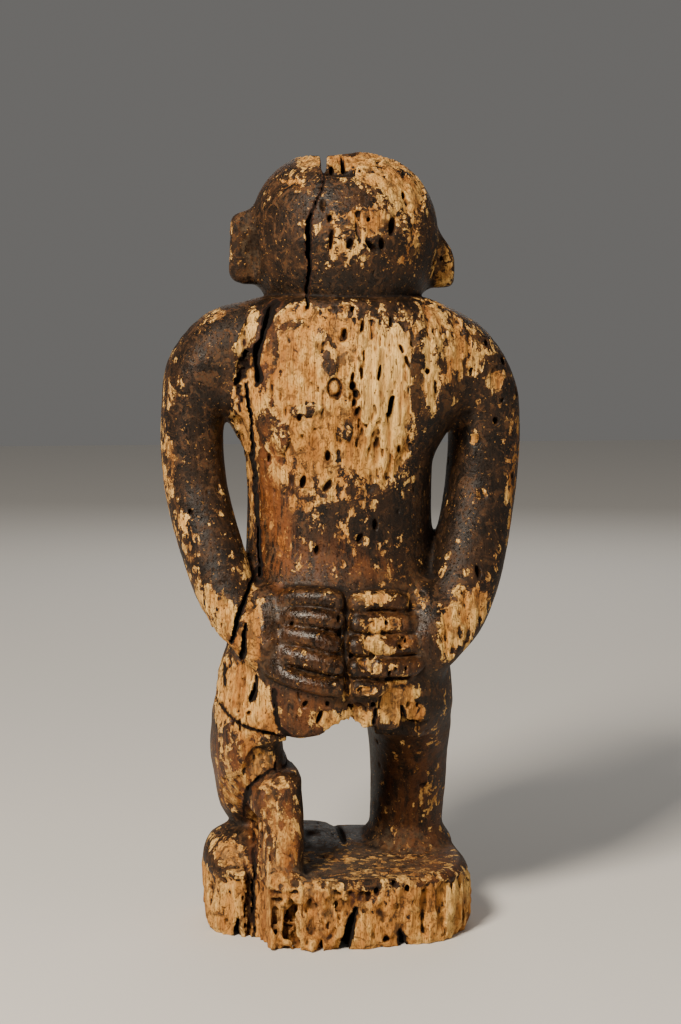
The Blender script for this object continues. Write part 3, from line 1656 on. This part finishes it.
def hollowness(mesh: bpy.types.Mesh, points: Array, rounds: int = 7) -> Array:
    """How deep each vertex lies under the mean of its neighbourhood.

    The mean is taken again and again over the vertices joined by an edge; the step from the vertex to
    it, along the normal, is the measure.

    Args:
        mesh: The mesh.
        points: Its vertices in millimetres.
        rounds: How often the mean is taken.

    Returns:
        Millimetres under the neighbourhood, below 0 on ridges.
    """
    edges = np.zeros(len(mesh.edges) * 2, np.int32)
    mesh.edges.foreach_get("vertices", edges)
    first, second = edges.reshape(-1, 2).T
    count = np.bincount(edges, minlength=len(points))[:, None]
    mean = points
    for _ in range(rounds):
        columns = [
            np.bincount(first, mean[second, k], len(points))
            + np.bincount(second, mean[first, k], len(points))
            for k in range(3)
        ]
        mean = np.stack(columns, axis=1) / count
    return ((mean - points) * read_vectors(mesh.vertices, "normal")).sum(axis=1)


# Finish


class Nodes:
    """Short ways to add and join shader nodes in one material."""

    def __init__(self, material: bpy.types.Material) -> None:
        """Start an empty node tree.

        Args:
            material: The material that it belongs to.
        """
        material.use_nodes = True
        self.tree = material.node_tree
        self.tree.nodes.clear()

    def add(self, kind: str, **settings: object) -> bpy.types.Node:
        """Add a node; a setting named as an input sets it or links it, any other is an attribute.

        Args:
            kind: Blender's name of the node type.
            settings: Input names, with spaces as underscores, or attributes.

        Returns:
            The node.
        """
        node = self.tree.nodes.new(kind)
        for key, value in settings.items():
            if hasattr(node, key):
                setattr(node, key, value)
        for key, value in settings.items():
            if not hasattr(node, key):
                self.set(node.inputs[key.replace("_", " ")], value)
        return node

    def set(self, socket: bpy.types.NodeSocket, value: object) -> None:
        """Link an output to a socket, or give the socket a plain value."""
        if isinstance(value, bpy.types.NodeSocket):
            self.tree.links.new(value, socket)
        else:
            socket.default_value = value

    def math(self, operation: str, *values: object) -> bpy.types.NodeSocket:
        """A math node on up to three values; returns its output."""
        node = self.tree.nodes.new("ShaderNodeMath")
        node.operation = operation
        for socket, value in zip(node.inputs, values):
            self.set(socket, value)
        return node.outputs[0]

    def sum(self, *values: object) -> bpy.types.NodeSocket:
        """Sum of two or more values."""
        total = values[0]
        for value in values[1:]:
            total = self.math("ADD", total, value)
        return total

    def scaled(self, value: object, by: float, plus: float = 0.0) -> bpy.types.NodeSocket:
        """The value times by, plus a constant."""
        return self.math("MULTIPLY_ADD", value, by, plus)

    def blend(self, share: object, first: object, second: object) -> bpy.types.NodeSocket:
        """Mix of two values: first + share * (second - first)."""
        return self.math("MULTIPLY_ADD", self.math("SUBTRACT", second, first), share, first)

    def stretched(self, place: object, shrink: float) -> bpy.types.NodeSocket:
        """The place with its height shrunk, so that a texture on it is drawn out along the grain."""
        return self.add("ShaderNodeMapping", Vector=place, Scale=(1.0, 1.0, shrink)).outputs[0]

    def noise(
        self, place: object, scale: float, detail: float, rough: float, twist: float = 0.0
    ) -> bpy.types.NodeSocket:
        """A noise texture's value at a place; scale is in cells a metre."""
        node = self.add(
            "ShaderNodeTexNoise", Vector=place, Scale=scale, Detail=detail, Roughness=rough, Distortion=twist
        )
        return node.outputs[0]

    def ramp(self, value: object, stops: list[tuple[float, tuple]]) -> bpy.types.NodeSocket:
        """A colour ramp through stops of (place, colour); returns its colour."""
        node = self.tree.nodes.new("ShaderNodeValToRGB")
        self.set(node.inputs[0], value)
        elements = node.color_ramp.elements
        while len(elements) < len(stops):
            elements.new(0.5)
        for element, (place, colour) in zip(elements, stops):
            element.position = place
            element.color = (*colour, 1.0)
        return node.outputs[0]

    def between(self, low: float, high: float, value: object) -> bpy.types.NodeSocket:
        """Smooth rise from 0 to 1 as value goes from low to high."""
        node = self.tree.nodes.new("ShaderNodeMapRange")
        node.interpolation_type = "SMOOTHSTEP"
        self.set(node.inputs["Value"], value)
        node.inputs["From Min"].default_value = low
        node.inputs["From Max"].default_value = high
        return node.outputs[0]

    def mix(self, share: object, first: object, second: object, blend: str = "MIX") -> bpy.types.NodeSocket:
        """Mix two colours; returns the colour."""
        node = self.tree.nodes.new("ShaderNodeMix")
        node.data_type = "RGBA"
        node.blend_type = blend
        for socket, value in zip((node.inputs[0], node.inputs[6], node.inputs[7]), (share, first, second)):
            if isinstance(value, tuple) and len(value) == 3:
                value = (*value, 1.0)
            self.set(socket, value)
        return node.outputs[2]


@dataclass(frozen=True)
class AgedWood:
    """Dark, handled skin over dry straw-coloured wood.

    Attributes:
        skin_dark: The skin where it is thickest.
        skin_mid: The skin as a whole.
        skin_worn: The skin where it is thin.
        rim: The brown edge between skin and bare wood.
        crevice: The dark dashes of the grain in bare wood.
        amber: Bare wood that is stained.
        tan: Bare wood.
        straw: Bare wood, bleached.
        rust: Red-brown stain.
        dust: Grey-brown dirt.
        shadow: Dirt in cracks and holes.
        grime: Brown dirt on the skin.
        shine: Strength of the reflection, the same all over.
        nape: Heights in metres between which the body's flecks give way to the head's.
        plinth: Heights in metres between which islands of skin begin over the base.
    """

    skin_dark: Point = (0.0052, 0.0028, 0.0014)
    skin_mid: Point = (0.0165, 0.0080, 0.0034)
    skin_worn: Point = (0.056, 0.0235, 0.0082)
    rim: Point = (0.115, 0.044, 0.0135)
    crevice: Point = (0.070, 0.0175, 0.0045)
    amber: Point = (0.35, 0.135, 0.030)
    tan: Point = (0.67, 0.32, 0.076)
    straw: Point = (0.94, 0.59, 0.185)
    rust: Point = (0.28, 0.085, 0.018)
    dust: Point = (0.115, 0.078, 0.047)
    shadow: Point = (0.006, 0.0028, 0.0016)
    grime: Point = (0.080, 0.044, 0.019)
    shine: float = 0.27
    nape: tuple[float, float] = (0.317, 0.324)
    plinth: tuple[float, float] = (0.024, 0.040)

    def build(self, name: str) -> bpy.types.Material:
        """Make the material from the vertex attributes and from noise.

        Bare wood shows where the attribute bare plus flecks, grit, spots and islands passes one half. Both
        kinds of surface take stain and dust, and what lies sunk or hollow takes dirt.

        Args:
            name: Name of the material.

        Returns:
            The material.
        """
        material = bpy.data.materials.new(name)
        n = Nodes(material)
        place = n.add("ShaderNodeTexCoord").outputs["Object"]
        tall = n.stretched(place, 0.40)
        long = n.stretched(place, 0.14)
        thread = n.stretched(place, 0.05)
        read = {
            key: n.add("ShaderNodeAttribute", attribute_name=key).outputs["Fac"]
            for key in ("bare", "warm", "straw", "dust", "soot", "polish", "sunk", "hollow")
        }
        height = n.add("ShaderNodeSeparateXYZ", Vector=place).outputs["Z"]

        # Where the wood is bare
        fleck_body = n.noise(tall, 230, 5, 0.62, 0.5)
        fleck_head = n.noise(place, 200, 5, 0.60, 1.4)
        fleck = n.blend(n.between(*self.nape, height), fleck_body, fleck_head)
        grit = n.noise(place, 1100, 2, 0.6)
        oval = n.stretched(place, 0.75)
        cells = n.add("ShaderNodeTexVoronoi", Vector=oval, Scale=150.0).outputs["Distance"]
        spots = n.scaled(n.between(0.34, 0.24, cells), 0.24)
        spots = n.sum(spots, n.scaled(n.between(0.13, 0.06, cells), -0.15))
        sandy = n.scaled(read["straw"], -0.85, 1.0)
        island = n.math("MULTIPLY", n.scaled(n.noise(place, 120, 4, 0.62, 1.2), 1.5, -0.78), sandy)
        island = n.math("MULTIPLY", island, n.between(*self.plinth, height))
        raw = n.sum(read["bare"], n.scaled(fleck, 1.5, -0.75), n.scaled(grit, 0.5, -0.25), spots, island)
        raw = n.sum(raw, n.scaled(read["soot"], -0.04))
        raw = n.sum(raw, n.scaled(n.math("MAXIMUM", read["hollow"], -0.32), -0.4))
        thin = n.between(0.40, 0.49, raw)
        bare = n.between(0.49, 0.545, raw)

        # Bare wood
        streak = n.noise(thread, 1500, 3, 0.6)
        strand = n.noise(thread, 480, 3, 0.6)
        dash = n.between(0.395, 0.335, n.noise(n.stretched(place, 0.22), 1000, 3, 0.6))
        gash = n.between(0.375, 0.33, n.noise(n.stretched(place, 0.2), 380, 4, 0.65))
        dark = n.math("MULTIPLY", n.math("MAXIMUM", dash, gash), n.scaled(read["straw"], 0.4, 0.6))
        tone = n.noise(tall, 75, 4, 0.62)
        wood = n.mix(n.between(0.31, 0.55, tone), self.amber, self.tan)
        pale = n.sum(tone, n.scaled(read["straw"], 0.34), n.scaled(read["hollow"], -0.2))
        pale = n.sum(pale, n.scaled(read["bare"], -0.3, 0.17))
        wood = n.mix(n.between(0.44, 0.80, pale), wood, self.straw)
        wood = n.mix(n.scaled(n.between(0.62, 0.36, streak), 0.5), wood, self.amber)
        wood = n.mix(n.scaled(n.between(0.46, 0.36, strand), 0.55), wood, self.rim)
        wood = n.mix(n.scaled(dark, 0.85), wood, self.crevice)
        pepper = n.math("MULTIPLY", n.between(0.57, 0.66, n.noise(place, 760, 4, 0.72)), sandy)
        wood = n.mix(n.scaled(pepper, 0.55), wood, self.rim)

        # The skin
        fine, broad = n.noise(long, 420, 4, 0.62), n.noise(place, 70, 4, 0.6)
        smear = n.sum(n.scaled(fine, 0.45), n.scaled(broad, 0.55))
        skin = n.ramp(smear, [(0.40, self.skin_dark), (0.50, self.skin_mid), (0.64, self.skin_worn)])
        speck = n.between(0.595, 0.66, n.noise(tall, 800, 4, 0.68, 0.4))
        skin = n.mix(n.scaled(speck, 0.45), skin, self.rim)
        crumb = n.between(0.645, 0.68, n.noise(place, 620, 3, 0.6))
        skin = n.mix(n.scaled(crumb, 0.6), skin, self.tan)
        skin = n.mix(n.scaled(read["soot"], 0.62), skin, self.skin_dark)
        base = n.mix(bare, n.mix(thin, skin, self.rim), wood)

        # Grime, stain, dust and dirt
        grime = n.between(0.51, 0.62, n.noise(place, 170, 5, 0.66, 0.9))
        grime = n.math("MULTIPLY", grime, n.scaled(read["straw"], -0.8, 0.85))
        grime = n.math("MULTIPLY", grime, n.scaled(read["soot"], -0.7, 1.0))
        base = n.mix(grime, base, n.mix(n.between(0.4, 0.6, grit), self.grime, self.rim))
        stain = n.math("MULTIPLY", read["warm"], n.between(0.40, 0.58, n.noise(long, 230, 5, 0.72)))
        base = n.mix(n.scaled(stain, 0.62), base, self.rust)
        grey = n.math("MULTIPLY", read["dust"], n.between(0.40, 0.60, n.noise(place, 330, 4, 0.65)))
        grey = n.math("MULTIPLY", grey, n.between(-0.4, 0.05, read["hollow"]))
        base = n.mix(n.scaled(grey, 0.75), base, self.dust)
        base = n.mix(n.scaled(n.between(1.7, 3.6, read["sunk"]), 0.6), base, self.crevice)
        deep = n.between(3.4, 6.0, read["sunk"])
        dirt = n.math("MAXIMUM", deep, n.scaled(n.between(0.18, 0.85, read["hollow"]), 0.80))
        base = n.mix(n.scaled(dirt, 0.985), base, self.shadow)

        # Gloss and relief
        dull = n.math("MAXIMUM", bare, n.math("MAXIMUM", grey, dirt))
        rough = n.sum(n.scaled(dull, 0.50), n.scaled(smear, 0.5, 0.28), n.scaled(speck, 0.2))
        rough = n.sum(rough, n.scaled(read["polish"], -0.38), n.scaled(read["dust"], 0.28))
        rough = n.sum(rough, n.scaled(grime, 0.2))
        fibres = n.sum(n.scaled(streak, 0.7), n.scaled(strand, 1.6), n.scaled(dark, -0.7))
        relief = n.blend(bare, n.scaled(fleck, 0.35, 0.35), fibres)
        relief = n.sum(relief, n.scaled(grit, 0.28), n.scaled(bare, -1.1), n.scaled(pepper, -0.5))
        bump = n.add("ShaderNodeBump", Strength=0.9, Distance=0.0009, Height=relief)
        shader = n.add("ShaderNodeBsdfPrincipled", Base_Color=base, Roughness=rough, Normal=bump.outputs[0])
        shader.inputs["Specular IOR Level"].default_value = self.shine
        output = n.add("ShaderNodeOutputMaterial")
        n.tree.links.new(shader.outputs[0], output.inputs["Surface"])
        return material


# The whole figure


@dataclass
class Figure:
    """The carved figure as one piece.

    Attributes:
        finish: Its surface finish.
    """

    finish: AgedWood = field(default_factory=AgedWood)

    def cracks(self) -> tuple[Crack, ...]:
        """The drying cracks, by their course on the photographed side."""
        head = (
            (-11.2, 380, 1.6), (-12.2, 374, 0.7), (-13.2, 368, 0.6), (-15.5, 364, 0.6),
            (-18.9, 357, 1.1), (-19.9, 352, 2.1), (-20.2, 344, 2.4), (-19.6, 336, 1.9),
            (-19.0, 333.4, 1.1), (-19.4, 330, 1.7), (-19.6, 324, 1.4), (-20.6, 312, 0.9),
        )
        crown = ((-8.2, 377.4, 1.4), (-8.4, 380, 3.0), (-8.6, 393, 3.8))
        shoulder = (
            (-33.6, 315.2, 1.0), (-36.6, 312.6, 3.0), (-39.0, 309.1, 4.2), (-40.0, 305.6, 4.2),
            (-41.2, 301.4, 2.6), (-42.8, 296.4, 2.0), (-45.2, 292.3, 4.4), (-45.0, 288.3, 3.0),
            (-44.8, 283.6, 2.2), (-44.2, 278.5, 3.8), (-44.9, 274.6, 1.0),
        )
        pocket = (
            (-47.4, 292, 1.6), (-49.8, 289.4, 3.6), (-50.9, 284.8, 5.0), (-52.2, 280.2, 4.8),
            (-52.9, 275.6, 3.0), (-53.2, 268, 1.4), (-52.8, 260, 1.0),
        )
        flank = (
            (-50, 275, 0.9), (-48.8, 266, 1.2), (-47.4, 258, 0.8), (-46.6, 250, 0.9), (-45.4, 238, 1.1),
            (-44.2, 228, 1.4), (-43.6, 215, 0.9), (-43, 203, 1.3), (-42.6, 190, 1.2), (-42.6, 180, 1.7),
        )
        wrist = (
            (-43.4, 184, 1.2), (-46.6, 179.5, 2.0), (-50.8, 173, 1.6), (-53.4, 167.5, 2.2),
            (-55.6, 161, 2.0), (-57.2, 155, 1.8), (-58.2, 149.5, 1.2),
        )
        wrist_inner = (
            (-51.8, 160, 0.8), (-52.2, 156, 1.5), (-52.6, 150, 1.9), (-53, 144.5, 2.4),
            (-53.2, 141, 1.2),
        )
        hip = ((-46.4, 133.4, 0.8), (-46.6, 128, 1.2), (-47.6, 124.2, 2.8), (-49.4, 121, 1.6))
        seam = (
            (-68, 121.5, 0.7), (-63.6, 116.8, 0.8), (-58.7, 111.8, 0.8), (-53.4, 108.7, 0.8),
            (-47.5, 106.6, 0.8), (-42.2, 105, 0.9), (-37.8, 104.4, 1.1), (-33.4, 103.7, 1.3),
        )
        knee = (
            (-37.5, 85.3, 0.7), (-39.8, 84.1, 1.0), (-43, 81.7, 1.3), (-47.2, 78, 1.3),
            (-49.4, 74.6, 1.8), (-50.3, 70, 2.0), (-50.2, 65, 1.2), (-50, 56, 0.8),
        )
        channel = ((-49.6, -3, 3.0), (-49.4, 8, 5.0), (-49.8, 20, 5.6), (-49.4, 30, 4.6), (-47.6, 39, 2.6))
        channel_left = ((-51.4, 1, 0.7), (-51.6, 8, 1.1), (-52, 18, 1.2), (-51.6, 28, 0.9), (-50.6, 36, 0.6))
        channel_right = (
            (-47.4, -3, 0.9), (-47.2, 8, 1.2), (-47.4, 20, 1.5), (-47, 30, 1.3), (-46.2, 40, 1.2),
            (-45.2, 49, 0.8),
        )
        slot = ((-5.4, -3, 4.4), (-3.8, 7, 4.6), (-1.6, 14, 3.6), (0.6, 20, 1.6))
        return (
            Crack(head, -14),
            Crack(shoulder, -27),
            Crack(pocket, -27, wander=0.9, dark=0.7),
            Crack(crown, 60, wander=0.1, dark=0, slant=0.123),
            Crack(flank, -8),
            Crack(wrist, -26),
            Crack(wrist_inner, -30),
            Crack(((-59.6, 135, 0.5), (-60, 130, 0.6), (-60, 125.6, 0.5)), -24),
            Crack(hip, -34),
            Crack(((-38.6, 128, 1.2), (-37.6, 116, 1.6), (-35.5, 109, 1.8), (-31, 104.5, 2.2)), -46),
            Crack(((-28.2, 86, 0.6), (-29.4, 84.6, 0.7), (-32, 84.2, 0.5)), -34),
            Crack(((-36.4, 88, 0.7), (-36.1, 85.5, 0.9), (-36, 83, 0.6)), -30),
            Crack(seam, -35, wander=0.15),
            Crack(knee, -26),
            Crack(channel, -27, wander=0.3, dark=0.3),
            Crack(channel_left, -24, wander=0.3, dark=0.5),
            Crack(channel_right, -22, wander=0.25, dark=0.7),
            Crack(((-55, -3, 4.6), (-55.6, 4, 3.0), (-55, 9, 1.4)), -20, dark=0.6),
            Crack(slot, -44),
            Crack(((24.5, -3, 5.0), (23.6, 4, 4.0), (22.4, 8, 1.6)), -50),
            Crack(((24.8, 107, 2.8), (24.8, 113, 2.6), (24, 118, 1.2)), -40),
            Crack(((10.6, 118, 1.2), (10.2, 111, 1.4)), -44),
        )

    def pits(self) -> tuple[Pit, ...]:
        """The larger holes, by their place on the photographed side."""
        rows = (
            (-50.4, 290.4, 3.0, 5, 2.4, 20), (-52.8, 284, 3.4, 8, 2.8, 10),
            (-49.2, 285.4, 2.4, 6, 2.2, 10), (-53.6, 277.6, 3.0, 7, 2.6, 8),
            (-46.6, 291, 2.6, 5, 2.4, 20), (-47, 284, 1.6, 6, 1.6, 0), (-44.2, 281, 2.6, 6, 3, 0),
            (0.4, 278.5, 1.8, 5, 4, 4), (0.6, 274.4, 3.2, 4.6, 6, 14), (2.2, 270.6, 3.4, 5.4, 7, -12),
            (1.4, 266.4, 2.4, 4.6, 6, 8), (2.9, 262, 2.4, 5.4, 6, 4), (3.6, 256, 1.4, 7, 4, 0),
            (19.1, 264.5, 2.6, 10, 6, 12), (-3.1, 299.2, 2.6, 6, 5, 0), (0.9, 311.1, 2, 2.5, 4, 0),
            (5.5, 303, 2, 5, 4, 8), (13.5, 280.6, 1.8, 7.4, 4, 5), (4.8, 281.3, 2, 7, 4, 0),
            (-25.1, 259, 2.4, 4, 4, 0), (-11.1, 240.2, 3, 5.5, 5, 0), (-38.6, 238.2, 2, 5.5, 4, 0),
            (-11.1, 225.4, 3.4, 7, 4, 30), (-22.7, 227.5, 3, 5.5, 4, 0), (12.3, 206.3, 2.2, 5, 5, 0),
            (-16.3, 194.3, 2, 4, 4, 0), (4.5, 199.9, 3, 4, 4, 20), (24, 243.1, 1.8, 4, 4, 0),
            (37.6, 281.1, 3, 2.6, 3, 0), (24.5, 292, 1.6, 5, 3, -22), (27.2, 286, 1.6, 6, 3, -22),
            (20.3, 351, 3.4, 8.5, 7, 8), (15.1, 342.5, 3, 5.5, 6, -20), (9.9, 341.2, 2.6, 7, 6, -42),
            (-10.1, 354.6, 2, 3, 4, 0), (-9.5, 343.9, 2, 10, 3, 5), (-0.6, 342.5, 3, 4.5, 4, 20),
            (8.5, 354.2, 2, 2.4, 4, 0), (27.1, 365.8, 2, 3.4, 4, 0), (69.7, 294.1, 2, 3.4, 4, 0),
            (78.8, 284.9, 2.6, 4, 5, -20), (74.7, 255.4, 2.2, 3.2, 5, 0), (63.7, 182, 2.4, 5.5, 5, -10),
            (-77, 212.3, 1.8, 2.2, 4, 0), (50, 335.4, 1.4, 2.4, 4, 0), (44.8, 333.2, 1.0, 2.0, 4, 0),
            (51.6, 329.3, 1.4, 0.9, 4, 0), (-23.7, 121, 2.4, 3.2, 4, 20), (-13, 121.2, 1.8, 2.4, 4, 0),
            (-16.4, 114.4, 2.2, 6.4, 5, 20), (-1.7, 120, 3.2, 2, 4, 0), (9.5, 120.2, 2.4, 2.2, 4, 0),
            (-7.1, 154.5, 1.8, 4.2, 3, 0), (-7.6, 162.8, 1.4, 4, 3, 8), (-29.5, 159.8, 1.4, 2.2, 4, 0),
            (-1.3, 144.1, 2.6, 2.4, 4, 0), (16.9, 135.8, 1.4, 2.4, 4, 20), (25.2, 137.6, 1.4, 2, 4, 0),
            (22.7, 148, 1.4, 2.6, 4, -20), (25.7, 150.4, 1.2, 1.8, 4, 0), (15.8, 159.9, 1.2, 2, 4, 0),
            (-61.8, 116.2, 2, 2.4, 4, 0), (-50, 114.6, 2, 2.4, 3, 30), (-33, 16, 3.4, 6, 5, 0),
            (10.7, 28.5, 2.4, 3.4, 5, 0), (19.5, 31.7, 2.4, 2.4, 5, 0), (26, 29, 2.4, 3, 5, 0),
            (15.6, 4, 4, 3, 6, 0),
        )
        return tuple(Pit(*row) for row in rows)

    def break_crown(self, block: Block) -> None:
        """Break the crown's back rim down to a low ledge, which leaves the upright blocks standing behind.

        Args:
            block: The block of wood.
        """
        broken = UprightBody((Level(375.2, -4.2, 7.0, -60, -22), Level(396, -3.6, 9.6, -60, -20.5)), 5)
        block.cut(broken, soft=1.4)
        block.cut(Swelling((-3.5, -29, 377.6), (8, 7, 3.4), 6), soft=1.5)

    def open_crown(self, block: Block) -> None:
        """Open the rotted hollow in the crown, with two upright blocks left standing at its back rim.

        Args:
            block: The block of wood.
        """
        block.cut(Swelling((-3, 3, 390), (14, 18, 16)), soft=1)
        groove = (Station(-1.3, -24, 377.4, 1.2, 8), Station(-1.0, -24, 398, 1.1, 9))
        block.cut(Limb(groove, 5), soft=0.4)
        block.cut(Swelling((-7.0, -22, 377.6), (1.1, 4, 2.4)), soft=0.4)
        block.cut(Swelling((-15.5, -20, 391.5), (3.6, 20, 5.4)), soft=0.8)

    def ring_knot(self, block: Block) -> None:
        """Sink the ring round the small knot on the back, which keeps its own middle.

        Args:
            block: The block of wood.
        """
        block.cut(Swelling((-8.0, -46, 273.4), (4.2, 4.6, 5.6), -8), soft=0.4)
        block.join(Swelling((-8.4, -42.2, 273.9), (2.7, 3.4, 4.0), -8), soft=0.4)

    def carve(self) -> tuple[Block, Array]:
        """Carve the block: the members, then what is lost.

        Returns:
            The block, and the grid of distances to the unbroken surface.
        """
        block = Block()
        torso = Torso()
        Base().carve(block)
        Legs().carve(block)
        torso.carve(block)
        torso.trim(block)
        Arms().carve(block)
        Hands(torso.body).carve(block)
        Head().carve(block)
        self.break_crown(block)
        Base().break_corner(block)
        block.even_out()
        whole = block.field.copy()
        LOG.info("members joined")

        wear = Weathering(Noise(SEED))
        index, points = block.band(wear.reach)
        block.field[index] += wear.erosion(points)
        LOG.info("erosion on %d places", len(points))
        self.open_crown(block)
        for crack in self.cracks():
            block.cut(crack, soft=0.4)
        for pit in self.pits():
            pit.sink(block)
        self.ring_knot(block)
        WormHoles().sink(block, wear)
        block.close_corners()
        np.maximum(block.field, -block.axes[2].reshape(1, 1, -1), out=block.field)
        LOG.info("cracks and pits cut")
        return block, whole

    def dress(self, mesh: bpy.types.Mesh, block: Block, whole: Array) -> None:
        """Write the wear attributes on the finished mesh and give it its material.

        Args:
            mesh: The mesh.
            block: The block of wood.
            whole: Distances to the unbroken surface.
        """
        points = read_vectors(mesh.vertices, "co") / METRES
        wear = Weathering(Noise(SEED))
        dark = np.max([crack.darkness(points) for crack in self.cracks()], axis=0)
        values = {
            "bare": wear.raw(points),
            "warm": wear.total(WARM, points),
            "straw": wear.total(STRAW, points),
            "dust": wear.total(DUST, points),
            "soot": wear.total(SOOT, points),
            "polish": wear.total(POLISH, points),
            "sunk": np.maximum(-block.sample(whole, points), 8 * dark),
            "hollow": hollowness(mesh, points),
        }
        for key, value in values.items():
            layer = mesh.attributes.new(key, "FLOAT", "POINT")
            layer.data.foreach_set("value", value.astype(np.float32))
        mesh.materials.append(self.finish.build("aged_wood"))
        mesh.shade_smooth()

    def build(self) -> bpy.types.Object:
        """Make the piece.

        Returns:
            The object, riding on the body in place of the plain solid.
        """
        block, whole = self.carve()
        net = SurfaceNet.of(block)
        LOG.info("net of %d faces", len(net.faces))
        rough = bpy.data.objects.new("rough", net.mesh("rough"))
        bpy.context.scene.collection.objects.link(rough)
        thin = rough.modifiers.new("thin", "DECIMATE")
        thin.ratio = min(1.0, TRIANGLES / (2 * len(net.faces)))
        graph = bpy.context.evaluated_depsgraph_get()
        mesh = bpy.data.meshes.new_from_object(rough.evaluated_get(graph))
        mesh.name = "carved_figure"
        bpy.data.objects.remove(rough)
        self.dress(mesh, block, whole)
        piece = bpy.data.objects.new("carved_figure", mesh)
        bpy.context.scene.collection.objects.link(piece)
        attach(piece, "root")
        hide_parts("figure")
        LOG.info("carved_figure: %d faces", len(mesh.polygons))
        return piece


# Studio


@dataclass(frozen=True)
class Studio:
    """A plain pale floor, soft light and the camera behind the figure.

    Attributes:
        distance: Camera to the figure's axis, level, in metres.
        height: Height of the camera.
        azimuth: Its place round the figure in degrees, 0 straight behind.
        pitch: How far it looks down.
        focal: Focal length in picture points.
        picture: Height of the picture in picture points.
        sensor: Width of the camera's sensor in millimetres.
        reach: Half the floor's side in metres.
    """

    distance: float = 1.2
    height: float = 0.34
    azimuth: float = -7.0
    pitch: float = 6.25
    focal: float = 2400.0
    picture: float = 1024.0
    sensor: float = 36.0
    reach: float = 3.0

    def camera(self) -> None:
        """Place the camera; the lens is the focal length over the picture's height times the sensor."""
        data = bpy.data.cameras.new("camera")
        data.sensor_width = self.sensor
        data.lens = self.focal * self.sensor / self.picture
        camera = bpy.data.objects.new("camera", data)
        turn = math.radians(self.azimuth)
        camera.location = (self.distance * math.sin(turn), -self.distance * math.cos(turn), self.height)
        camera.rotation_euler = (math.radians(90 - self.pitch), 0, turn)
        bpy.context.scene.collection.objects.link(camera)
        bpy.context.scene.camera = camera

    def floor(self) -> None:
        """Lay a wide, pale, matt floor."""
        reach = self.reach
        corners = [(-reach, -reach, 0), (reach, -reach, 0), (reach, reach, 0), (-reach, reach, 0)]
        mesh = bpy.data.meshes.new("floor")
        mesh.from_pydata(corners, [], [(0, 1, 2, 3)])
        material = bpy.data.materials.new("floor")
        material.use_nodes = True
        shader = material.node_tree.nodes["Principled BSDF"]
        shader.inputs["Base Color"].default_value = (0.72, 0.71, 0.69, 1)
        shader.inputs["Roughness"].default_value = 0.9
        mesh.materials.append(material)
        floor = bpy.data.objects.new("floor", mesh)
        bpy.context.scene.collection.objects.link(floor)

    def light(self, name: str, place: Point, size: float, power: float, colour: Point) -> None:
        """Add a square soft light that looks at the figure's middle.

        Args:
            name: Its name.
            place: Where it stands, in metres.
            size: Length of its side.
            power: Its power in watts.
            colour: Its colour.
        """
        data = bpy.data.lights.new(name, "AREA")
        data.size, data.energy, data.color = size, power, colour
        lamp = bpy.data.objects.new(name, data)
        lamp.location = place
        lamp.rotation_euler = (Vector((0, 0, 0.2)) - Vector(place)).to_track_quat("-Z", "Y").to_euler()
        bpy.context.scene.collection.objects.link(lamp)

    def build(self) -> None:
        """Build the floor, the lights, the pale surroundings and the camera."""
        self.floor()
        self.light("key", (-0.80, -1.10, 1.25), 0.40, 51, (1.0, 0.88, 0.72))
        self.light("fill", (1.3, -0.9, 0.7), 1.0, 2.5, (1.0, 0.90, 0.78))
        self.light("far", (0.3, 1.4, 1.0), 1.0, 5.5, (1.0, 0.95, 0.88))
        world = bpy.data.worlds.new("surroundings")
        world.use_nodes = True
        background = world.node_tree.nodes["Background"]
        background.inputs["Color"].default_value = (1.0, 0.97, 0.93, 1)
        background.inputs["Strength"].default_value = 0.15
        bpy.context.scene.world = world
        self.camera()


def main() -> None:
    """Build the figure and the studio, and report each piece."""
    logging.basicConfig(level=logging.INFO, format="%(relativeCreated)d ms %(name)s: %(message)s")
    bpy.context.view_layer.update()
    Figure().build()
    Studio().build()


if __name__ == "__main__":
    main()
